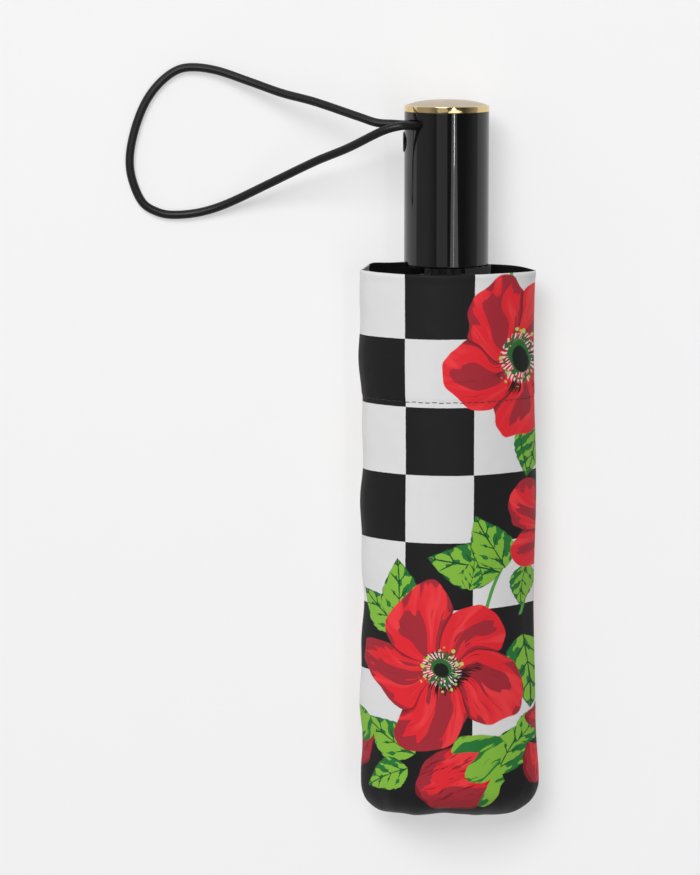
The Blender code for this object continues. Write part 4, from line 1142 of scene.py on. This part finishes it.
def make_handle():
    """The gloss shell with its slot and button hole, then the gold cap over it."""
    radius = HANDLE_RADIUS
    low = SHELL_LOW[1]
    high = CAP_SEAM
    bore = radius - SHELL_WALL
    edge = 0.00012
    rim = 0.0009
    outline = [(bore, high), (radius - edge, high)]
    outline += arc((radius - edge, high - edge), edge, 90, 0, 3)
    outline += arc((radius - rim, low + rim), rim, 0, -90, 8)
    outline += [(bore + 0.0001, low), (bore, low + 0.0001), (bore, high)]
    shell = turned("handle_shell_fine", outline, 192, GLOSS)
    bpy.ops.mesh.primitive_cube_add(size=1)
    slot = bpy.context.object
    slot.data.transform(
        Matrix.Translation((0, LOOP_EXIT[1], AXIS))
        @ Matrix.Rotation(-SLOT_TURN, 4, "Y")
        @ Matrix.Translation((0, 0, radius))
        @ Matrix.Diagonal((*SLOT_SIZE, 1))
    )
    bevel = slot.modifiers.new("Round", "BEVEL")
    bevel.width = 0.0017
    bevel.segments = 6
    bevel.affect = "EDGES"
    apply_modifiers(slot)
    cut(shell, slot)
    button_y = (BUTTON_LOW[1] + BUTTON_HIGH[1]) / 2
    bpy.ops.mesh.primitive_cylinder_add(vertices=96, radius=BUTTON_HOLE_RADIUS, depth=0.012)
    hole = bpy.context.object
    hole.data.transform(
        Matrix.Translation((-radius, button_y, AXIS)) @ Matrix.Rotation(math.pi / 2, 4, "Y")
    )
    cut(shell, hole)
    shell.data.shade_smooth()
    shell.data.set_sharp_from_angle(angle=math.radians(30))
    round_normals(shell, radius)
    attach(shell, "handle")
    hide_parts("handle_shell")

    # A shallow dome inside a rim.
    dome = radius - 0.0007
    rise = CAP_HIGH[1] - 0.0004 - CAP_RIM
    outline = [(dome * step / 12, CAP_RIM + rise * (1 - (step / 12) ** 3.0)) for step in range(12)]
    outline += [(dome, CAP_RIM + 0.00004), (dome + 0.0002, CAP_RIM)]
    outline += arc((radius - 0.0003, CAP_RIM - 0.0003), 0.0003, 90, 0, 5)
    outline += arc((radius - 0.0002, CAP_SEAM + 0.0002), 0.0002, 0, -90, 3)
    plug = radius - 0.0017
    foot = CAP_LOW[1] + 0.0004
    outline += [(plug, CAP_SEAM), (plug, foot), (0, foot)]
    cap = turned("end_cap_fine", outline, 192, GOLD, sharp_angle=30)
    cap.data.materials.append(GOLD_FACE)
    for face in cap.data.polygons:
        if face.center.y > CAP_RIM + 0.00002:
            face.material_index = 1
    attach(cap, "handle")
    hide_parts("end_cap")


make_handle()


def make_button_spring():
    """A short coil behind the push button, made at rest; on the umbrella it closes up as the button
    goes in.
    """
    low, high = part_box("button_spring")
    radius = (high[1] - low[1]) / 2 - COIL_WIRE
    middle_y = (low[1] + high[1]) / 2
    middle_z = (low[2] + high[2]) / 2
    steps = COIL_TURNS * 32
    sides = 8
    points = []
    for step in range(steps + 1):
        share = step / steps
        angle = 2 * math.pi * COIL_TURNS * share
        climb = share - 0.05 * math.sin(4 * math.pi * share)
        x = low[0] + COIL_WIRE + (high[0] - low[0] - 2 * COIL_WIRE) * min(1.0, max(0.0, climb))
        outward = Vector((0, math.cos(angle), math.sin(angle)))
        centre = Vector((x, middle_y, middle_z)) + radius * outward
        points += circle(centre, outward, Vector((1, 0, 0)), COIL_WIRE, sides)
    spring = mesh_object("button_coil", points, tube_faces(steps + 1, sides), RIB_STEEL)
    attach(spring, "handle")
    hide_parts("button_spring")
    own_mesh(spring)


make_button_spring()


# ---------------------------------------------------------------- canopy


def drawn_in(ring, radius, share, along):
    """A ring taken towards a circle about the shaft by a share, at a new place along the shaft."""
    flat = ring[:, [0, 2]] - np.array([0, AXIS])
    size = np.linalg.norm(flat, axis=1)
    flat *= ((size + (radius - size) * share) / size)[:, None]
    return np.stack([flat[:, 0], np.broadcast_to(along, size.shape), AXIS + flat[:, 1]], axis=1)


def make_canopy():
    """The folded canopy: a bundle of lengthwise pleats, tucked in round the shaft at both ends."""
    columns = 320
    wide = (CANOPY_HIGH[0] - CANOPY_LOW[0]) / 2 - 0.0008
    high = (CANOPY_HIGH[2] - CANOPY_LOW[2]) / 2 - 0.0004
    mouth = CANOPY_HIGH[1] + 0.0008
    end = CANOPY_LOW[1]
    bore = 0.0153
    pleats = 16
    rows = []
    for step in range(91):
        rows.append((mouth - 0.0012 + (end + 0.016 - mouth) * step / 90, 1.0))
    for step in range(1, 15):
        share = step / 14
        rows.append((end + 0.0148 - 0.0145 * share, 1 - 0.45 * share**2.2))
    points = np.empty((len(rows), columns, 3))
    angle = np.linspace(0, 2 * math.pi, columns, endpoint=False)
    for index, (along, shrink) in enumerate(rows):
        drift = 0.20 * math.sin(along * 18.0) + 0.9 * (mouth - along)
        phase = angle * pleats / 2 + drift + 0.8 * np.sin(angle * 3 + along * 9.0)
        wave = 1 - np.abs(np.sin(phase))
        fold = 0.0022 * wave**1.6 + 0.0007 * np.sin(angle * 23 + along * 31.0) ** 2
        radial = np.stack([np.cos(angle) * wide, np.sin(angle) * high], axis=1) * shrink
        size = np.linalg.norm(radial, axis=1)
        target = np.maximum(size - fold, min(bore + 0.0004, float(size.min())))
        radial *= (target / size)[:, None]
        points[index, :, 0] = radial[:, 0]
        points[index, :, 1] = along
        points[index, :, 2] = AXIS + radial[:, 1]
    # The mouth turns in to the bore in soft scallops, then runs back inside.
    inner = []
    for share, back in ((0.35, -0.0009), (0.7, -0.0003), (1.0, 0.0006), (1.0, 0.012), (1.0, 0.06)):
        scallop = 0.0004 * np.sin(angle * 12) * (share < 1)
        inner.append(drawn_in(points[0], bore, share, points[0][:, 1] - back + scallop))
    # The crown end tucks in to the stem.
    tucked = [drawn_in(points[-1], 0.0030, share, end + 0.0001) for share in (0.55, 0.78)]
    everything = np.stack(inner[::-1] + list(points) + tucked)
    faces = grid_faces(len(everything), columns)
    canopy = mesh_object("canopy_bundle", everything.reshape(-1, 3), faces, CANOPY_CLOTH)
    # The pleats gather more cloth than they show, so the print jumps from fold to fold.
    layers = np.floor(angle * pleats / (2 * math.pi))
    across = angle * 0.022 + np.cumsum(np.where(np.diff(layers, prepend=0) > 0, 0.011, 0.0)) - 0.06
    lay_uv(canopy, -across, everything[:, :, 1], -0.14)
    face_outward(canopy)
    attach(canopy, "frame")
    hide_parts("canopy")


make_canopy()


def make_strap():
    """The band round the folded canopy, with a stitched groove along both edges."""
    columns = 200
    wide = (STRAP_HIGH[0] - STRAP_LOW[0]) / 2
    high = (STRAP_HIGH[2] - STRAP_LOW[2]) / 2
    profile = [(0.0, -1.0), (-0.00025, -0.97), (0.0, -0.9), (-0.00012, -0.8), (0.0, -0.7)]
    profile += [(0.0, 0.7), (-0.00012, 0.8), (0.0, 0.9), (-0.00025, 0.97), (0.0, 1.0)]
    middle = (STRAP_LOW[1] + STRAP_HIGH[1]) / 2
    half = (STRAP_HIGH[1] - STRAP_LOW[1]) / 2
    angle = np.linspace(0, 2 * math.pi, columns, endpoint=False)
    rings = []
    for lift, share in profile:
        x = (wide + lift) * np.cos(angle)
        z = AXIS + (high + lift) * np.sin(angle)
        y = np.full(columns, middle + share * half)
        rings.append(np.stack([x, y, z], axis=1))
    points = np.stack(rings)
    faces = grid_faces(len(rings), columns)
    strap = mesh_object("closure_strap_band", points.reshape(-1, 3), faces, CANOPY_CLOTH)
    lay_uv(strap, -angle * 0.022, points[:, :, 1], -0.14)
    wall = strap.modifiers.new("Cloth", "SOLIDIFY")
    wall.thickness = CLOTH_THICKNESS
    wall.offset = -1.0
    face_outward(strap)
    apply_modifiers(strap)
    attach(strap, "frame")
    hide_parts("closure_strap")


make_strap()


def make_stitches(points):
    """The hem's lockstitch: short thread lengths that dip into the cloth between holes."""
    rows = points[:, :, 1].mean(axis=1)
    row = int(np.argmin(np.abs(rows - (MOUTH - HEM_DEPTH))))
    ring = points[row]
    closed = np.vstack([ring, ring[:1]])
    lengths = np.concatenate([[0], np.cumsum(np.linalg.norm(np.diff(closed, axis=0), axis=1))])
    count = int(lengths[-1] / STITCH_PITCH)
    centre = np.array([0, 0, AXIS])
    normal = Vector((0, 1, 0))
    verts = []
    faces = []
    sides = 6
    for stitch in range(count):
        start = stitch * STITCH_PITCH
        path = []
        for step in range(5):
            share = step / 4
            at = start + STITCH_LENGTH * share
            place = np.array([np.interp(at, lengths, closed[:, axis]) for axis in range(3)])
            outward = place - centre
            outward[1] = 0
            outward /= np.linalg.norm(outward)
            lift = THREAD_RADIUS * (2.4 * math.sin(math.pi * share) - 0.7)
            place = place + outward * lift
            place[1] += 0.00012 * math.sin(stitch * 2.3)
            place[2] = max(place[2], THREAD_RADIUS + 0.00002)
            path.append(Vector(place))
        base = len(verts)
        for place, tangent in zip(path, directions(path)):
            verts += circle(place, normal, tangent.cross(normal).normalized(), THREAD_RADIUS, sides)
        faces += [tuple(base + corner for corner in face) for face in tube_faces(len(path), sides)]
    stitches = mesh_object("hem_stitches", verts, faces, THREAD)
    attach(stitches, "sleeve")


make_stitches(sleeve_points)


# ---------------------------------------------------------------- carried-over pieces


def finish_nodes():
    ribs = [f"{kind}_rib_{index}" for kind in ("top", "middle") for index in range(1, 9)]
    dark_ribs = [f"{kind}_{index}" for kind in ("stretcher", "tail_rib") for index in range(1, 9)]
    wires = ["main_spring", "crown_wire", "runner_wire", "strap_snap", "latch_pin", "latch_lever"]
    finishes = [
        (CHROME, ["inner_tube", "middle_tube"]),
        (DARK_STEEL, ["outer_tube", "loop_anchor", *dark_ribs]),
        (RIB_STEEL, [*wires, *ribs]),
        (WHITE_PLASTIC, ["crown"]),
        (BLACK_PLASTIC, ["top_cap", "runner", "tube_socket", "latch_block"]),
        (GLOSS, ["push_button"]),
    ]
    for material, name in [(material, name) for material, names in finishes for name in names]:
        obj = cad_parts[name]
        obj.data.materials.clear()
        obj.data.materials.append(material)
        if material in (CHROME, GLOSS):
            obj.data.shade_smooth()
            obj.data.set_sharp_from_angle(angle=math.radians(32))


finish_nodes()
